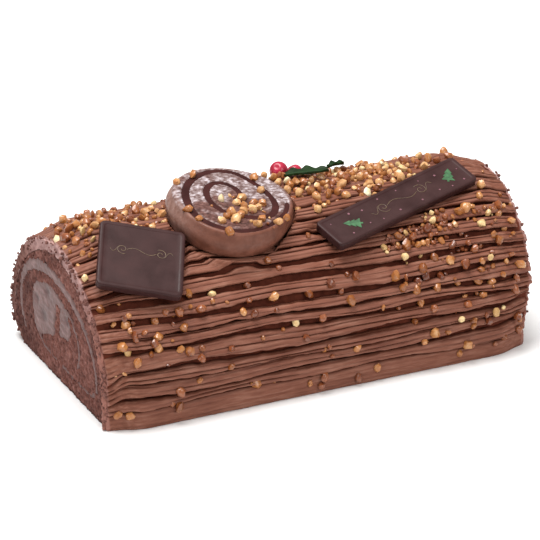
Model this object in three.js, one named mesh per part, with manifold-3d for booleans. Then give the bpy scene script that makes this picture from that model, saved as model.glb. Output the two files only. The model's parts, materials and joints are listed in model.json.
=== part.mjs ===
// A yule log cake: a rolled chocolate sponge under combed buttercream, with chopped nuts,
// two chocolate plaques, a small roulade slice, two berries and two holly leaves.
// Millimetres. X runs along the log, -Y is the front, +Z is up, the origin is the middle of the foot.
import * as THREE from 'three';
import { mergeVertices } from 'three/addons/utils/BufferGeometryUtils.js';
import Module from 'manifold-3d';

const wasm = await Module();
wasm.setup();

// ---- driving dimensions -------------------------------------------------------------------

const logLength = 200;
const clearance = 0.3;                                   // between pieces that touch
const slack = 0.04;                                      // flatter bends than this are joined

// the iced section at a cut end, as two halves: reach is the widest point, foot the width at the table
const crestHeight = 67;
const roundness = 1.88;
const frontHalf = { reach: 48, foot: 47, widestZ: 20 };
const backHalf = { reach: 58.6, foot: 47.7, widestZ: 13 };
const bodySwell = 4.3;                                   // fuller between the ends than at them
const endDip = 16;                                       // length over which the ends thin out
const leftCut = { perY: -0.034, perZ: -0.027 };          // how the two knife cuts lean
const rightCut = { perY: -0.031, perZ: 0.116 };
const cutPivotZ = 30;

// combed strokes: gap lines as distances up the coat at the left end, the middle and the right end
const referenceSwell = 3;                                // the section on which those distances are measured
const frontGaps = [
  { at: [8.8, 9.5, 7.0], open: [0.5, 0.5, 0.2] },
  { at: [14.2, 14.2, 15.5], open: [0.8, 0.7, 1.3] },
  { at: [21.5, 19.8, 20.6], open: [0.5, 0.4, 0.2] },
  { at: [27.0, 24.8, 25.6], open: [0.8, 1.0, 0.9] },
  { at: [36.0, 33.6, 30.0], open: [0.8, 1.0, 0.5] },
  { at: [41.4, 38.8, 36.0], open: [0.3, 0.4, 0.7] },
  { at: [48.6, 44.3, 43.5], open: [1.3, 1.4, 0.5] },
  { at: [55.8, 53.0, 50.3], open: [1.3, 1.5, 0.7] },
  { at: [62.5, 60.2, 57.3], open: [0.8, 1.0, 0.9] },
  { at: [69.0, 67.3, 64.5], open: [0.5, 0.5, 0.5] },
  { at: [75.0, 73.0, 71.0], open: [0.5, 0.6, 0.5] },
  { at: [81.0, 79.5, 78.0], open: [0.5, 0.6, 0.5] },
];
const backPitch = 7.4;                                   // over the crest and down the back
const strokeDepth = 3.6;                                 // from a stroke's crest to the bottom of a gap
const strokeWander = 0.6;
const lipOverhang = 0.6;                                 // each stroke's lower lip hangs over its gap
const coatThickness = { front: 6.5, top: 6.5, back: 4.5 };
const footLip = { reach: 2, height: 6 };                 // icing pushed out past the left cut at the table

const filling = {                                        // the cream's path from its outer end inwards
  path: [
    [43, 10], [46, 20], [43.5, 32], [35, 42], [23, 47.6], [11, 49.6], [-2, 48.6], [-15, 44.8],
    [-26, 38], [-33, 29.5], [-36.5, 20], [-34.5, 11.5], [-26, 8.2], [-8, 8.2], [10, 8.8], [22, 10.5], [29, 16],
  ],
  thickness: [2.4, 3.2, 3.4, 3.8, 4, 4, 3.6, 3.2, 3, 2.8, 2.4, 1.8, 1.2, 1.2, 1.2, 1.6, 3],
  core: [
    [29, 13.5], [32, 24], [30, 35], [20, 40.5], [8, 42], [-5, 39.5], [-10, 33], [-8.5, 25.5], [4, 21.5], [17, 17],
  ],
  tail: [[-6, 38], [-13, 35.5], [-17.5, 29], [-18.5, 21], [-15.5, 15]],
  tailThickness: [2.2, 1.4],
  tongue: { from: [2.5, 35], to: [7, 16], halfWidth: 2.7 },   // the sponge's inner end, in the core
};

const roundel = {                                        // the roulade slice that lies on the log
  radius: 26.8, thickness: 11.6, edge: 1.4, footEdge: 0.6, bulge: 1.4,
  uneven: [[1, 0.7, 43], [2, 0.85, 98], [3, 0.8, 24]],   // waves of its rim: number, amount, direction
  slant: -1,                                             // its foot lies a little to the left of its face
  centre: [-23.5, -8, 76.2], leanForward: 10.4, leanSide: 6.9,
  swirlPath: [
    [3.2, 1], [5.3, 3.2], [5.9, 6.6], [4.8, 10.6], [1.6, 14], [-2.4, 14.6], [-6, 12.3], [-8.6, 8.4], [-9.9, 3.6],
    [-9.8, -1.6], [-7.6, -7.4], [-3.8, -10.7], [1.7, -13.3], [8.1, -14.4], [12.6, -13.2], [16.4, -9], [18.3, -4.2],
    [18.6, 0.8], [17.4, 8], [14.4, 15.2], [10.4, 21.2], [5, 23.6], [0, 23.8], [-5.4, 22], [-10.4, 19], [-15, 14.4],
    [-18.6, 8], [-20.6, 0], [-21.2, -8], [-18.4, -14.7], [-13.9, -19.8], [-7.5, -23], [-0.6, -23.5], [5.5, -22],
    [12.1, -18.6], [18.1, -13.7], [21.7, -9.2], [24, -4.7],
  ],
  swirlWidth: [2.6, 3.2, 3.2, 3.2, 3.4, 3.6, 3.4, 3.2, 3.2, 3.4, 3.6, 4, 3.8, 3, 2.4, 2.2],
  swirlSink: 0.4, collar: 2.4, collarWidth: 1.3, collarSpread: 4, collarDepth: 12,
};
const squarePlaque = {
  length: 36.4, width: 35.2, thickness: 4, corner: 2.4, bevel: 0.5,
  centre: [-73, -26.6, 66.5], leanForward: 27.6, leanSide: 1.8, spin: -22.9,
};
const barPlaque = {
  length: 79.8, width: 17.4, thickness: 4, corner: 2, bevel: 0.5,
  centre: [48, -22.4, 69], leanForward: 18.8, leanSide: -1.2, spin: 16.9,
};
const berries = [
  { name: 'berry_1', centre: [9, 16, 74.7], radius: 4.1 },
  { name: 'berry_2', centre: [16.8, 16.4, 72.6], radius: 3.4 },
];
const leafThickness = 0.9;
const leaves = [
  { name: 'leaf_1', stem: [7.5, 8.4, 75.8], length: 21, width: 8.4, spikes: 3, heading: -6, climb: 0, roll: -2 },
  { name: 'leaf_2', stem: [31.6, 14.4, 73.2], length: 8.8, width: 4, spikes: 2, heading: 9, climb: 0, roll: -2 },
];
// the heap that the berries and leaves lie on
const mound = { centre: [10, 10.5], reach: [27, 12], height: 3.8, root: 3 };

// chopped nuts: the biggest are solids here, and where they lie is a rule of zones
const nutRule = {
  seed: 20241, tries: 9000, smallest: 2.6, largest: 5.8, smallShare: 1.3, spacing: 0.36, solidCount: 112,
  sparse: 0.03, lift: 0.2, sliceLift: 0.12, stackRise: 2.2, stackFrom: 0.9,
  zones: [
    { x: -78, s: 101, reachX: 26, reachS: 17, share: 0.9 },
    { x: 12, s: 104, reachX: 20, reachS: 14, share: 1 },
    { x: 41, s: 102, reachX: 21, reachS: 17, share: 1 },
    { x: 64, s: 106, reachX: 13, reachS: 9, share: 0.5 },
    { x: 50, s: 64.5, reachX: 14, reachS: 7, share: 0.95 },
    { x: 84, s: 66, reachX: 12, reachS: 14, share: 0.18 },
    { x: -72, s: 44, reachX: 22, reachS: 12, share: 0.12 },
    { x: 64, s: 36, reachX: 32, reachS: 24, share: 0.1 },
  ],
};
// single nuts that catch the eye: along the log, up the coat, size
const placedNuts = [
  [-97.5, 103, 6.2], [-97.5, 72, 4.6], [-89.5, 35.5, 4.4], [-48.5, 53, 4.6], [-14, 34.5, 5],
  [32, 58.5, 4.4], [57, 66, 4.6], [83.5, 65, 4.4], [78.5, 60.5, 5.2], [39.5, 52.5, 4.8],
  [79, 45.5, 4.2], [63.5, 22, 4.6], [80.5, 22, 5], [-95.5, 56.5, 5], [-88, 47, 5], [-87, 31, 5],
  [-96, 7.5, 4.8], [-91, 7, 4.8], [-64.5, 41.5, 5], [-58.5, 55, 4.4], [-21, 62, 4.8], [14, 18, 4.4],
  [11.5, 39, 5.6], [43, 38, 5.4], [60, 47.5, 4.8], [53.5, 50, 4.8], [86, 79.5, 5], [24.5, 6.5, 4.4],
  [18.5, 89.5, 5], [10, 82, 5], [79, 35, 4.4], [-86, 41.5, 5], [-78.5, 37.5, 4.8], [-65, 48, 4.8],
  [-55.5, 47.5, 5], [48.5, 43, 5.2], [55, 42, 4.4], [73, 50.5, 5], [62.5, 53.5, 4.6], [66.5, 28, 4.4],
  [50, 29, 4.4], [-32.5, 41.5, 4.6], [-2.5, 3.6, 4.4], [15.5, 3.6, 4.4],
];
// nuts heaped before the berries and the leaf: place and size
const heapNuts = [
  [-6.6, 12.8, 76.2, 4.4], [-6, 11.5, 73, 4.6], [-3.6, 12, 75.3, 4.8], [-3.4, 8.6, 73.6, 4.8], [-1.8, 9.4, 75.7, 4.8],
  [0.6, 8.2, 75.3, 4.6], [0, 5, 73.2, 4.8], [3.6, 9, 75.4, 4.8], [3.6, 5.4, 74, 4.8], [14.6, 4.4, 73.4, 4.4],
  [7.6, 4.2, 74.8, 4.6], [11, 2.6, 74.4, 4.4], [14.6, 2, 73.8, 4.8], [7.8, 2, 73.8, 4.4], [5.2, -1, 73, 4.6],
  [19.5, -1, 72.4, 4.4], [9.5, -4, 72.4, 4.4], [30, 2, 71.4, 4.6], [20, 8.4, 72.4, 4.6], [25, 7.4, 71.8, 4.6],
  [32, 14, 70.6, 4.4], [37, 15, 70.2, 4.4],
];
// nuts on the slice's face: across, along, size
const roundelNuts = [
  [4.4, 0.4, 5.8], [2.8, -5.8, 4.8], [5.1, -9.4, 5.6], [11.8, -5, 4.8], [0.4, -3, 4.4],
  [-5.2, -10.4, 5.6], [-5.4, -15.6, 5.2], [-12.2, -16, 4.8], [2.8, -20.2, 4.8], [6.6, -16.4, 4.6],
  [12.6, -20, 5], [-23.2, -5.2, 4.8], [-21.2, -12.6, 3.8], [-9.7, 21.4, 5], [-19.4, 16.4, 4.4],
  [15.5, 5.1, 5.2], [-5.2, 0.6, 4.6], [1, -9.6, 4.6], [17.2, 16, 4.4], [-12, -24.2, 5], [8, -4, 4.6],
  [8.4, -7.8, 4.4], [-8.4, -13, 4.6], [-2, -13, 4.8], [18, -17, 4],
];

const palette = {
  sponge: 0x7a4438, cream: 0x99807a, icing: 0x966450, roulade: 0x8c5d4a, ganache: 0x42262a,
  plaque: 0x4b3a40, berry: 0xb0203c, leaf: 0x12351f,
};

// ---- small helpers ------------------------------------------------------------------------

function randomStream(seed) {
  let state = seed >>> 0;
  return () => {
    state = (state + 0x6d2b79f5) >>> 0;
    let mixed = Math.imul(state ^ (state >>> 15), 1 | state);
    mixed = (mixed + Math.imul(mixed ^ (mixed >>> 7), 61 | mixed)) ^ mixed;
    return ((mixed ^ (mixed >>> 14)) >>> 0) / 4294967296;
  };
}

const mix = (a, b, t) => a + (b - a) * t;
const clamp = (value, low, high) => Math.min(high, Math.max(low, value));
const smooth = (t) => { const u = clamp(t, 0, 1); return u * u * (3 - 2 * u); };

// the parabola through values at t = 0, 0.5 and 1
function throughThree([left, middle, right], t) {
  return left * (1 - t) * (1 - 2 * t) + middle * 4 * t * (1 - t) + right * t * (2 * t - 1);
}

function toSolid(geometry) {
  const bare = new THREE.BufferGeometry();
  bare.setAttribute('position', geometry.getAttribute('position'));
  if (geometry.index) bare.setIndex(geometry.index);
  const merged = mergeVertices(bare, 1e-4);
  return new wasm.Manifold(new wasm.Mesh({
    numProp: 3,
    vertProperties: new Float32Array(merged.getAttribute('position').array),
    triVerts: new Uint32Array(merged.index.array),
  }));
}

function toGeometry(solid) {
  const mesh = solid.getMesh();
  const geometry = new THREE.BufferGeometry();
  geometry.setAttribute('position', new THREE.BufferAttribute(new Float32Array(mesh.vertProperties), 3));
  geometry.setIndex(new THREE.BufferAttribute(new Uint32Array(mesh.triVerts), 1));
  return geometry;
}

// cutting can leave a loose crumb: the biggest lump is the piece
function biggestLump(solid) {
  return solid.decompose().sort((a, b) => b.volume() - a.volume())[0];
}

// joins faces that are nearly flat, and fills a pocket that this may pinch off
function tidySolid(solid) {
  return biggestLump(biggestLump(solid).simplify(slack));
}

function cutAll(solid, tools) {
  return tools.reduce((left, tool) => left.subtract(tool), solid);
}

// ---- the log's section --------------------------------------------------------------------

// half a section from the foot up to the crest, as [distance from the middle, height]
function halfSection({ reach, foot, widestZ }, crest, swell) {
  const points = [];
  const lowSteps = 12;
  const highSteps = 90;
  for (let i = 0; i < lowSteps; i += 1) {
    const z = widestZ * i / lowSteps;
    points.push([reach + swell - (reach - foot) * ((widestZ - z) / widestZ) ** 2, z]);
  }
  for (let i = 0; i <= highSteps; i += 1) {
    const turn = Math.PI / 2 * i / highSteps;
    points.push([
      (reach + swell) * Math.abs(Math.cos(turn)) ** (2 / roundness),
      widestZ + (crest + swell - widestZ) * Math.sin(turn) ** (2 / roundness),
    ]);
  }
  return points;
}

// the whole arch from the front foot over the crest to the back foot, with its running length
function archOf(swell) {
  const front = halfSection(frontHalf, crestHeight, swell).map(([y, z]) => [-y, z]);
  const back = halfSection(backHalf, crestHeight, swell).map(([y, z]) => [y, z]).reverse();
  const points = [...front, ...back.slice(1)];
  const run = [0];
  for (let i = 1; i < points.length; i += 1) {
    run.push(run[i - 1] + Math.hypot(points[i][0] - points[i - 1][0], points[i][1] - points[i - 1][1]));
  }
  return { points, run, girth: run[run.length - 1], crestAt: run[front.length - 1] };
}

const referenceArch = archOf(referenceSwell);

// a point on an arch at a share of its girth, and the outward direction there
function archPoint(arch, share) {
  const target = clamp(share, 0, 1) * arch.girth;
  let i = 1;
  while (i < arch.run.length - 1 && arch.run[i] < target) i += 1;
  const [a, b] = [arch.points[i - 1], arch.points[i]];
  const span = arch.run[i] - arch.run[i - 1];
  const t = (target - arch.run[i - 1]) / span;
  const tangent = [(b[0] - a[0]) / span, (b[1] - a[1]) / span];
  return { y: mix(a[0], b[0], t), z: mix(a[1], b[1], t), ny: -tangent[1], nz: tangent[0] };
}

function swellAt(share) {
  const fromEnd = Math.min(share, 1 - share) * logLength;
  return bodySwell * smooth(fromEnd / endDip);
}

const cutX = (side, lean, y, z) => side * logLength / 2 + lean.perY * y + lean.perZ * (z - cutPivotZ);

function alongX(share, y, z) {
  return mix(cutX(-1, leftCut, y, z), cutX(1, rightCut, y, z), share);
}

// ---- strokes ------------------------------------------------------------------------------

// every gap line: the front ones are placed by hand, the rest follow at an even pitch
const strokeGaps = (() => {
  const random = randomStream(77);
  const gaps = frontGaps.map((gap) => ({ ...gap }));
  const last = referenceArch.girth - frontGaps[0].at[1];
  for (let s = frontGaps[frontGaps.length - 1].at[1] + backPitch; s < last; s += backPitch) {
    const shift = (random() - 0.5) * 1.6;
    const open = 0.4 + random() * 0.7;
    gaps.push({ at: [s + shift, s, s - shift], open: [open, open * (0.6 + random() * 0.8), open] });
  }
  return gaps.map((gap) => ({ ...gap, phase: random() * Math.PI * 2, beat: 1.5 + random() * 1.5 }));
})();

function gapAt(gap, share) {
  const wave = Math.sin(gap.phase + share * Math.PI * 2 * gap.beat);
  return {
    s: throughThree(gap.at, share) + strokeWander * wave,
    half: Math.max(0.2, throughThree(gap.open, share) * (1 + 0.3 * Math.sin(gap.phase * 3 + share * 17))),
  };
}

// 1 on the front, -1 on the back: which way a stroke's lip hangs
const hangAt = (s) => clamp((referenceArch.crestAt - s) / 30, -1, 1);

// the coat's outline at a share of the length, as [s, depth] from foot to foot
function strokeProfile(share) {
  const profile = [[0, 0.4], [2.5, 0.2]];
  const lines = strokeGaps.map((gap) => gapAt(gap, share));
  lines.forEach(({ s, half }, i) => {
    const hang = hangAt(s);
    const lean = hang * Math.min(lipOverhang, half * 0.8);
    const depth = strokeDepth * clamp(0.35 + half, 0.4, 1);
    const next = i + 1 < lines.length ? lines[i + 1].s : referenceArch.girth - 1;
    profile.push([s - half - 0.4 - lean, depth * (0.25 + 0.2 * hang)]);
    profile.push([s - half * 0.6, depth]);
    profile.push([s + half * 0.6, depth]);
    profile.push([s + half + 0.4 - lean, depth * (0.25 - 0.2 * hang)]);
    profile.push([mix(s + half, next, 0.45), 0]);
  });
  profile.push([referenceArch.girth, 0.4]);
  return profile;
}

// the coat's outer surface as a closed body: rings of the stroke profile joined along the log
function coatBody() {
  const shares = [0, 0.035, 0.09, 0.2, 0.35, 0.5, 0.65, 0.8, 0.91, 0.965, 1];
  const rings = shares.map((share) => {
    const arch = archOf(swellAt(share));
    return strokeProfile(share).map(([s, depth]) => {
      const at = archPoint(arch, s / referenceArch.girth);
      const y = at.y - at.ny * depth;
      const z = Math.max(0, at.z - at.nz * depth);
      const lip = share === 0 && at.y < 0 ? footLip.reach * smooth(1 - s / footLip.height) : 0;
      return new THREE.Vector3(alongX(share, y, z) - lip, y, z);
    });
  });
  return loft(rings);
}

// joins rings of points, seen from the right end, into a closed body with flat ends
function loft(openRings) {
  const flat = (ring) => ring.map((point) => new THREE.Vector2(point.y, point.z));
  const rings = THREE.ShapeUtils.isClockWise(flat(openRings[0]))
    ? openRings : openRings.map((ring) => [...ring].reverse());
  const count = rings[0].length;
  const positions = rings.flat().flatMap((point) => [point.x, point.y, point.z]);
  const index = [];
  for (let ring = 0; ring + 1 < rings.length; ring += 1) {
    for (let i = 0; i < count; i += 1) {
      const a = ring * count + i;
      const b = ring * count + (i + 1) % count;
      index.push(a, a + count, b, b, a + count, b + count);
    }
  }
  const farEnd = (rings.length - 1) * count;
  for (const [a, b, c] of THREE.ShapeUtils.triangulateShape(flat(rings[0]), [])) index.push(a, c, b);
  for (const [a, b, c] of THREE.ShapeUtils.triangulateShape(flat(rings[rings.length - 1]), [])) {
    index.push(farEnd + a, farEnd + b, farEnd + c);
  }
  const geometry = new THREE.BufferGeometry();
  geometry.setAttribute('position', new THREE.Float32BufferAttribute(positions, 3));
  geometry.setIndex(index);
  return geometry;
}

// a section outline run through the log from one cut to the other, or past both
function throughLog(outline, overrun = 0) {
  const steps = overrun ? [-overrun, 1 + overrun] : [0, 1];
  const ringAt = (share) => outline.map(([y, z]) => new THREE.Vector3(alongX(share, y, z), y, z));
  return toSolid(loft(steps.map(ringAt)));
}

// ---- roll and filling ---------------------------------------------------------------------

// the rolled sponge's outline: the iced section less the coat, flat on the table
function rollOutline(extra) {
  const arch = archOf(0);
  const outline = [];
  const steps = 44;
  for (let i = 0; i <= steps; i += 1) {
    const at = archPoint(arch, i / steps);
    const side = at.y < 0 ? coatThickness.front : coatThickness.back;
    const coat = mix(side, coatThickness.top, clamp(at.nz, 0, 1)) - extra;
    const y = at.y - at.ny * coat;
    outline.push([y, i === 0 || i === steps ? -extra : Math.max(-extra, at.z - at.nz * coat)]);
  }
  return outline;
}

const flatCurve = (points, closed, steps) => new THREE.CatmullRomCurve3(
  points.map(([a, b]) => new THREE.Vector3(a, b, 0)), closed, 'centripetal',
).getPoints(steps).slice(0, closed ? steps : steps + 1).map((point) => [point.x, point.y]);

// a strip of changing width along a path, as one closed outline
function stripOutline(path, widths, extra, steps) {
  const line = flatCurve(path, false, steps);
  const sides = [[], []];
  line.forEach(([y, z], i) => {
    const before = line[Math.max(0, i - 1)];
    const after = line[Math.min(steps, i + 1)];
    const length = Math.hypot(after[0] - before[0], after[1] - before[1]);
    const normal = [-(after[1] - before[1]) / length, (after[0] - before[0]) / length];
    const place = i / steps * (widths.length - 1);
    const low = Math.min(widths.length - 2, Math.floor(place));
    const half = mix(widths[low], widths[low + 1], place - low) / 2 + extra;
    sides[0].push([y + normal[0] * half, z + normal[1] * half]);
    sides[1].push([y - normal[0] * half, z - normal[1] * half]);
  });
  return [...sides[0], ...sides[1].reverse()];
}

// a closed outline pushed outwards by a small amount
function grownOutline(outline, extra) {
  const centre = outline.reduce(([y, z], p) => [y + p[0] / outline.length, z + p[1] / outline.length], [0, 0]);
  return outline.map(([y, z]) => {
    const away = Math.hypot(y - centre[0], z - centre[1]);
    return [y + (y - centre[0]) / away * extra, z + (z - centre[1]) / away * extra];
  });
}

// the cream: a spiral layer that thickens into the core, less the sponge's tongue inside it
function fillingSolid(extra, overrun) {
  const layer = throughLog(stripOutline(filling.path, filling.thickness, extra, 36), overrun);
  const core = throughLog(grownOutline(flatCurve(filling.core, true, 24), extra), overrun);
  const tail = throughLog(stripOutline(filling.tail, filling.tailThickness, extra, 10), overrun);
  const tongue = throughLog(tongueOutline(-extra), 0.02);
  return layer.add(core).add(tail).subtract(tongue);
}

function tongueOutline(extra) {
  const { from, to, halfWidth } = filling.tongue;
  const neck = halfWidth * 0.45;
  const reach = [to[0] - from[0], to[1] - from[1]];
  const middle = [from[0] + reach[0] * 0.45, from[1] + reach[1] * 0.45];
  return stripOutline([from, middle, to], [halfWidth * 1.3, halfWidth * 2, neck * 2], extra, 8);
}

// ---- pieces placed on the log -------------------------------------------------------------

function frameOf({ centre, leanForward, leanSide, spin = 0 }) {
  const [forward, side] = [leanForward, leanSide].map(THREE.MathUtils.degToRad);
  const up = new THREE.Vector3(Math.sin(side), -Math.sin(forward), Math.cos(forward)).normalize();
  const across = new THREE.Vector3(1, 0, 0).addScaledVector(up, -up.x).normalize();
  across.applyAxisAngle(up, THREE.MathUtils.degToRad(spin));
  const along = new THREE.Vector3().crossVectors(up, across);
  return new THREE.Matrix4().makeBasis(across, along, up).setPosition(...centre);
}

const placedSolid = (geometry, matrix) => toSolid(geometry).transform(matrix.elements);

// a plaque with round corners and a softened edge, its top face at z = 0
function plaqueGeometry({ length, width, thickness, corner, bevel }, extra = 0) {
  const [halfX, halfY, r] = [length / 2 + extra - bevel, width / 2 + extra - bevel, corner];
  const shape = new THREE.Shape();
  shape.moveTo(-halfX + r, -halfY);
  shape.lineTo(halfX - r, -halfY);
  shape.absarc(halfX - r, -halfY + r, r, -Math.PI / 2, 0, false);
  shape.absarc(halfX - r, halfY - r, r, 0, Math.PI / 2, false);
  shape.absarc(-halfX + r, halfY - r, r, Math.PI / 2, Math.PI, false);
  shape.absarc(-halfX + r, -halfY + r, r, Math.PI, Math.PI * 1.5, false);
  const geometry = new THREE.ExtrudeGeometry(shape, {
    depth: thickness - 2 * bevel + 2 * extra, bevelEnabled: true, bevelThickness: bevel, bevelSize: bevel,
    bevelSegments: 1, curveSegments: 2, steps: 1,
  });
  return geometry.translate(0, 0, bevel - thickness - extra);
}

// slants a round shape of the slice, and makes its rim uneven where it is hand cut
function sliceShape(geometry, { rim }) {
  const corners = geometry.getAttribute('position');
  for (let i = 0; i < corners.count; i += 1) {
    const [x, y, z] = [corners.getX(i), corners.getY(i), corners.getZ(i)];
    const away = Math.atan2(y, x);
    const wave = roundel.uneven.reduce((sum, [waves, amount, direction]) =>
      sum + amount * Math.cos(waves * away - THREE.MathUtils.degToRad(direction)), 0);
    const grow = rim ? 1 + wave / roundel.radius : 1;
    corners.setXY(i, x * grow - roundel.slant * z / roundel.thickness, y * grow);
  }
  return geometry;
}

// the slice's disc with a fuller waist, its top face at z = 0
function roundelDisc(extra = 0) {
  const { radius, thickness, edge, footEdge, bulge } = roundel;
  const outer = radius + extra;
  const profile = [new THREE.Vector2(0, -thickness - extra)];
  for (const turn of [0, 90]) {
    const angle = THREE.MathUtils.degToRad(turn);
    profile.push(new THREE.Vector2(
      outer - footEdge + footEdge * Math.sin(angle), -thickness - extra + footEdge - footEdge * Math.cos(angle),
    ));
  }
  profile.push(new THREE.Vector2(outer + bulge, -thickness / 2));
  for (const turn of [0, 45, 90]) {
    const angle = THREE.MathUtils.degToRad(turn);
    profile.push(new THREE.Vector2(outer - edge + edge * Math.cos(angle), extra - edge + edge * Math.sin(angle)));
  }
  profile.push(new THREE.Vector2(0, extra));
  return sliceShape(new THREE.LatheGeometry(profile, 36).rotateX(Math.PI / 2), { rim: true });
}

// the ganache swirl: a strip that runs right through the slice
function swirlGeometry(extra, overrun) {
  const outline = stripOutline(roundel.swirlPath, roundel.swirlWidth, extra, 56);
  const shape = new THREE.Shape(outline.map(([a, b]) => new THREE.Vector2(a, b)));
  const depth = roundel.thickness - roundel.swirlSink + overrun * 2;
  const strip = new THREE.ExtrudeGeometry(shape, { depth, bevelEnabled: false, steps: 1 });
  return sliceShape(strip.translate(0, 0, -roundel.thickness - overrun), { rim: false });
}

// a holly leaf from stem to tip along X: two wavy faces split alike, and a rim between them
function leafGeometry({ length, width, spikes }, thickness, extra = 0) {
  const [alongSteps, acrossSteps] = [16, 4];
  const positions = [];
  const pointsPerFace = (alongSteps + 1) * (acrossSteps + 1);
  for (const side of [1, -1]) {
    for (let i = 0; i <= alongSteps; i += 1) {
      const t = i / alongSteps;
      const spine = Math.sin(Math.PI * clamp(t * 0.94 + 0.03, 0, 1)) ** 0.55;
      const spike = 0.62 + 0.38 * Math.abs(Math.cos(Math.PI * (spikes * t + 0.25))) ** 2.2;
      for (let j = 0; j <= acrossSteps; j += 1) {
        const v = j / acrossSteps * 2 - 1;
        const half = width / 2 * spine * (Math.abs(v) > 0.9 ? spike : 0.8) + extra;
        const wave = 0.8 + 0.4 * Math.cos(Math.PI * (2 * spikes * t + 0.5));
        const lift = wave * v * v - 2.2 * (t - 0.4) ** 2;
        positions.push(
          (length + 2 * extra) * t - extra,
          v * half,
          lift + side * (thickness / 2 + extra),
        );
      }
    }
  }
  const index = [];
  const at = (i, j) => i * (acrossSteps + 1) + j;
  for (let i = 0; i < alongSteps; i += 1) {
    for (let j = 0; j < acrossSteps; j += 1) {
      const [a, b, c, d] = [at(i, j), at(i + 1, j), at(i + 1, j + 1), at(i, j + 1)];
      index.push(a, b, c, a, c, d);
      index.push(...[a, c, b, a, d, c].map((k) => k + pointsPerFace));
    }
  }
  const rim = [];
  for (let i = 0; i < alongSteps; i += 1) rim.push(at(i, 0));
  for (let j = 0; j < acrossSteps; j += 1) rim.push(at(alongSteps, j));
  for (let i = alongSteps; i > 0; i -= 1) rim.push(at(i, acrossSteps));
  for (let j = acrossSteps; j > 0; j -= 1) rim.push(at(0, j));
  rim.forEach((a, k) => {
    const b = rim[(k + 1) % rim.length];
    index.push(a, a + pointsPerFace, b, b, a + pointsPerFace, b + pointsPerFace);
  });
  const geometry = new THREE.BufferGeometry();
  geometry.setAttribute('position', new THREE.Float32BufferAttribute(positions, 3));
  geometry.setIndex(index);
  return geometry;
}

function leafMatrix({ stem, heading, climb, roll }) {
  const turn = new THREE.Euler(...[roll, -climb, heading].map(THREE.MathUtils.degToRad), 'ZYX');
  return new THREE.Matrix4().makeRotationFromEuler(turn).setPosition(...stem);
}

// ---- chopped nuts -------------------------------------------------------------------------

// how deep the coat lies under its crest line at a place on it
function depthAt(s, share) {
  const profile = strokeProfile(share);
  let i = 1;
  while (i < profile.length - 1 && profile[i][0] < s) i += 1;
  const [a, b] = [profile[i - 1], profile[i]];
  const span = b[0] - a[0];
  return span > 0 ? mix(a[1], b[1], clamp((s - a[0]) / span, 0, 1)) : b[1];
}

// how far the heap raises what lies on the crest
function moundAt(x, y) {
  const [far, near] = [(x - mound.centre[0]) / mound.reach[0], (y - mound.centre[1]) / mound.reach[1]];
  return mound.height * Math.max(0, 1 - far ** 2 - near ** 2) ** 2;
}

// the height of the coat's crest line away from the ends, at a distance across the log
function coatHeight(y) {
  const { reach, widestZ } = y < 0 ? frontHalf : backHalf;
  const across = (Math.abs(y) / (reach + bodySwell)) ** roundness;
  return widestZ + (crestHeight + bodySwell - widestZ) * (1 - across) ** (1 / roundness);
}

function moundGeometry() {
  const profile = [new THREE.Vector2(0, -mound.root), new THREE.Vector2(1, -mound.root)];
  for (const far of [1, 0.85, 0.7, 0.5, 0.25, 0]) {
    profile.push(new THREE.Vector2(far, mound.height * (1 - far ** 2) ** 2));
  }
  const geometry = new THREE.LatheGeometry(profile, 20).rotateX(Math.PI / 2)
    .scale(mound.reach[0], mound.reach[1], 1).translate(...mound.centre, 0);
  const corners = geometry.getAttribute('position');
  for (let i = 0; i < corners.count; i += 1) corners.setZ(i, corners.getZ(i) + coatHeight(corners.getY(i)));
  return geometry;
}

// where a nut lies: its place along the log and up the coat, sunk a little between the strokes
function nutCentre(share, s, size) {
  const at = archPoint(archOf(swellAt(share)), s / referenceArch.girth);
  const lift = nutRule.lift * size - 0.7 * depthAt(s, share);
  const x = alongX(share, at.y, at.z);
  return new THREE.Vector3(x, at.y + at.ny * lift, at.z + at.nz * lift + (at.nz > 0 ? moundAt(x, at.y) : 0));
}

function nutDensity(x, s) {
  return nutRule.zones.reduce((density, zone) => {
    const far = ((x - zone.x) / zone.reachX) ** 2 + ((s - zone.s) / zone.reachS) ** 2;
    return Math.max(density, zone.share * Math.exp(-(far ** 2)));
  }, nutRule.sparse);
}

// the placed nuts and the scattered ones, thick in the zones and sparse between them, biggest first
function nutSpots(keepOuts) {
  const random = randomStream(nutRule.seed);
  const spots = placedNuts.map(([x, s, size]) => ({ centre: nutCentre(x / logLength + 0.5, s, size), size }));
  spots.push(...heapNuts.map(([x, y, z, size]) => ({ centre: new THREE.Vector3(x, y, z), size })));
  for (let i = 0; i < nutRule.tries; i += 1) {
    const [share, s, chance, sizeDraw] = [random(), random() * referenceArch.girth, random(), random()];
    const density = nutDensity((share - 0.5) * logLength, s);
    if (chance > density || s < 5 || s > referenceArch.girth - 5 || share < 0.012 || share > 0.985) continue;
    const size = mix(nutRule.smallest, nutRule.largest, sizeDraw ** nutRule.smallShare);
    const centre = nutCentre(share, s, size);
    if (moundAt(centre.x, centre.y) > nutRule.stackFrom) centre.z += nutRule.stackRise * chance / density;
    const crowded = spots.some((spot) => spot.centre.distanceTo(centre) < nutRule.spacing * (spot.size + size));
    if (crowded || keepOuts.some((blocked) => blocked(centre, size / 2))) continue;
    spots.push({ centre, size });
  }
  return spots.sort((a, b) => b.size - a.size);
}

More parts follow.
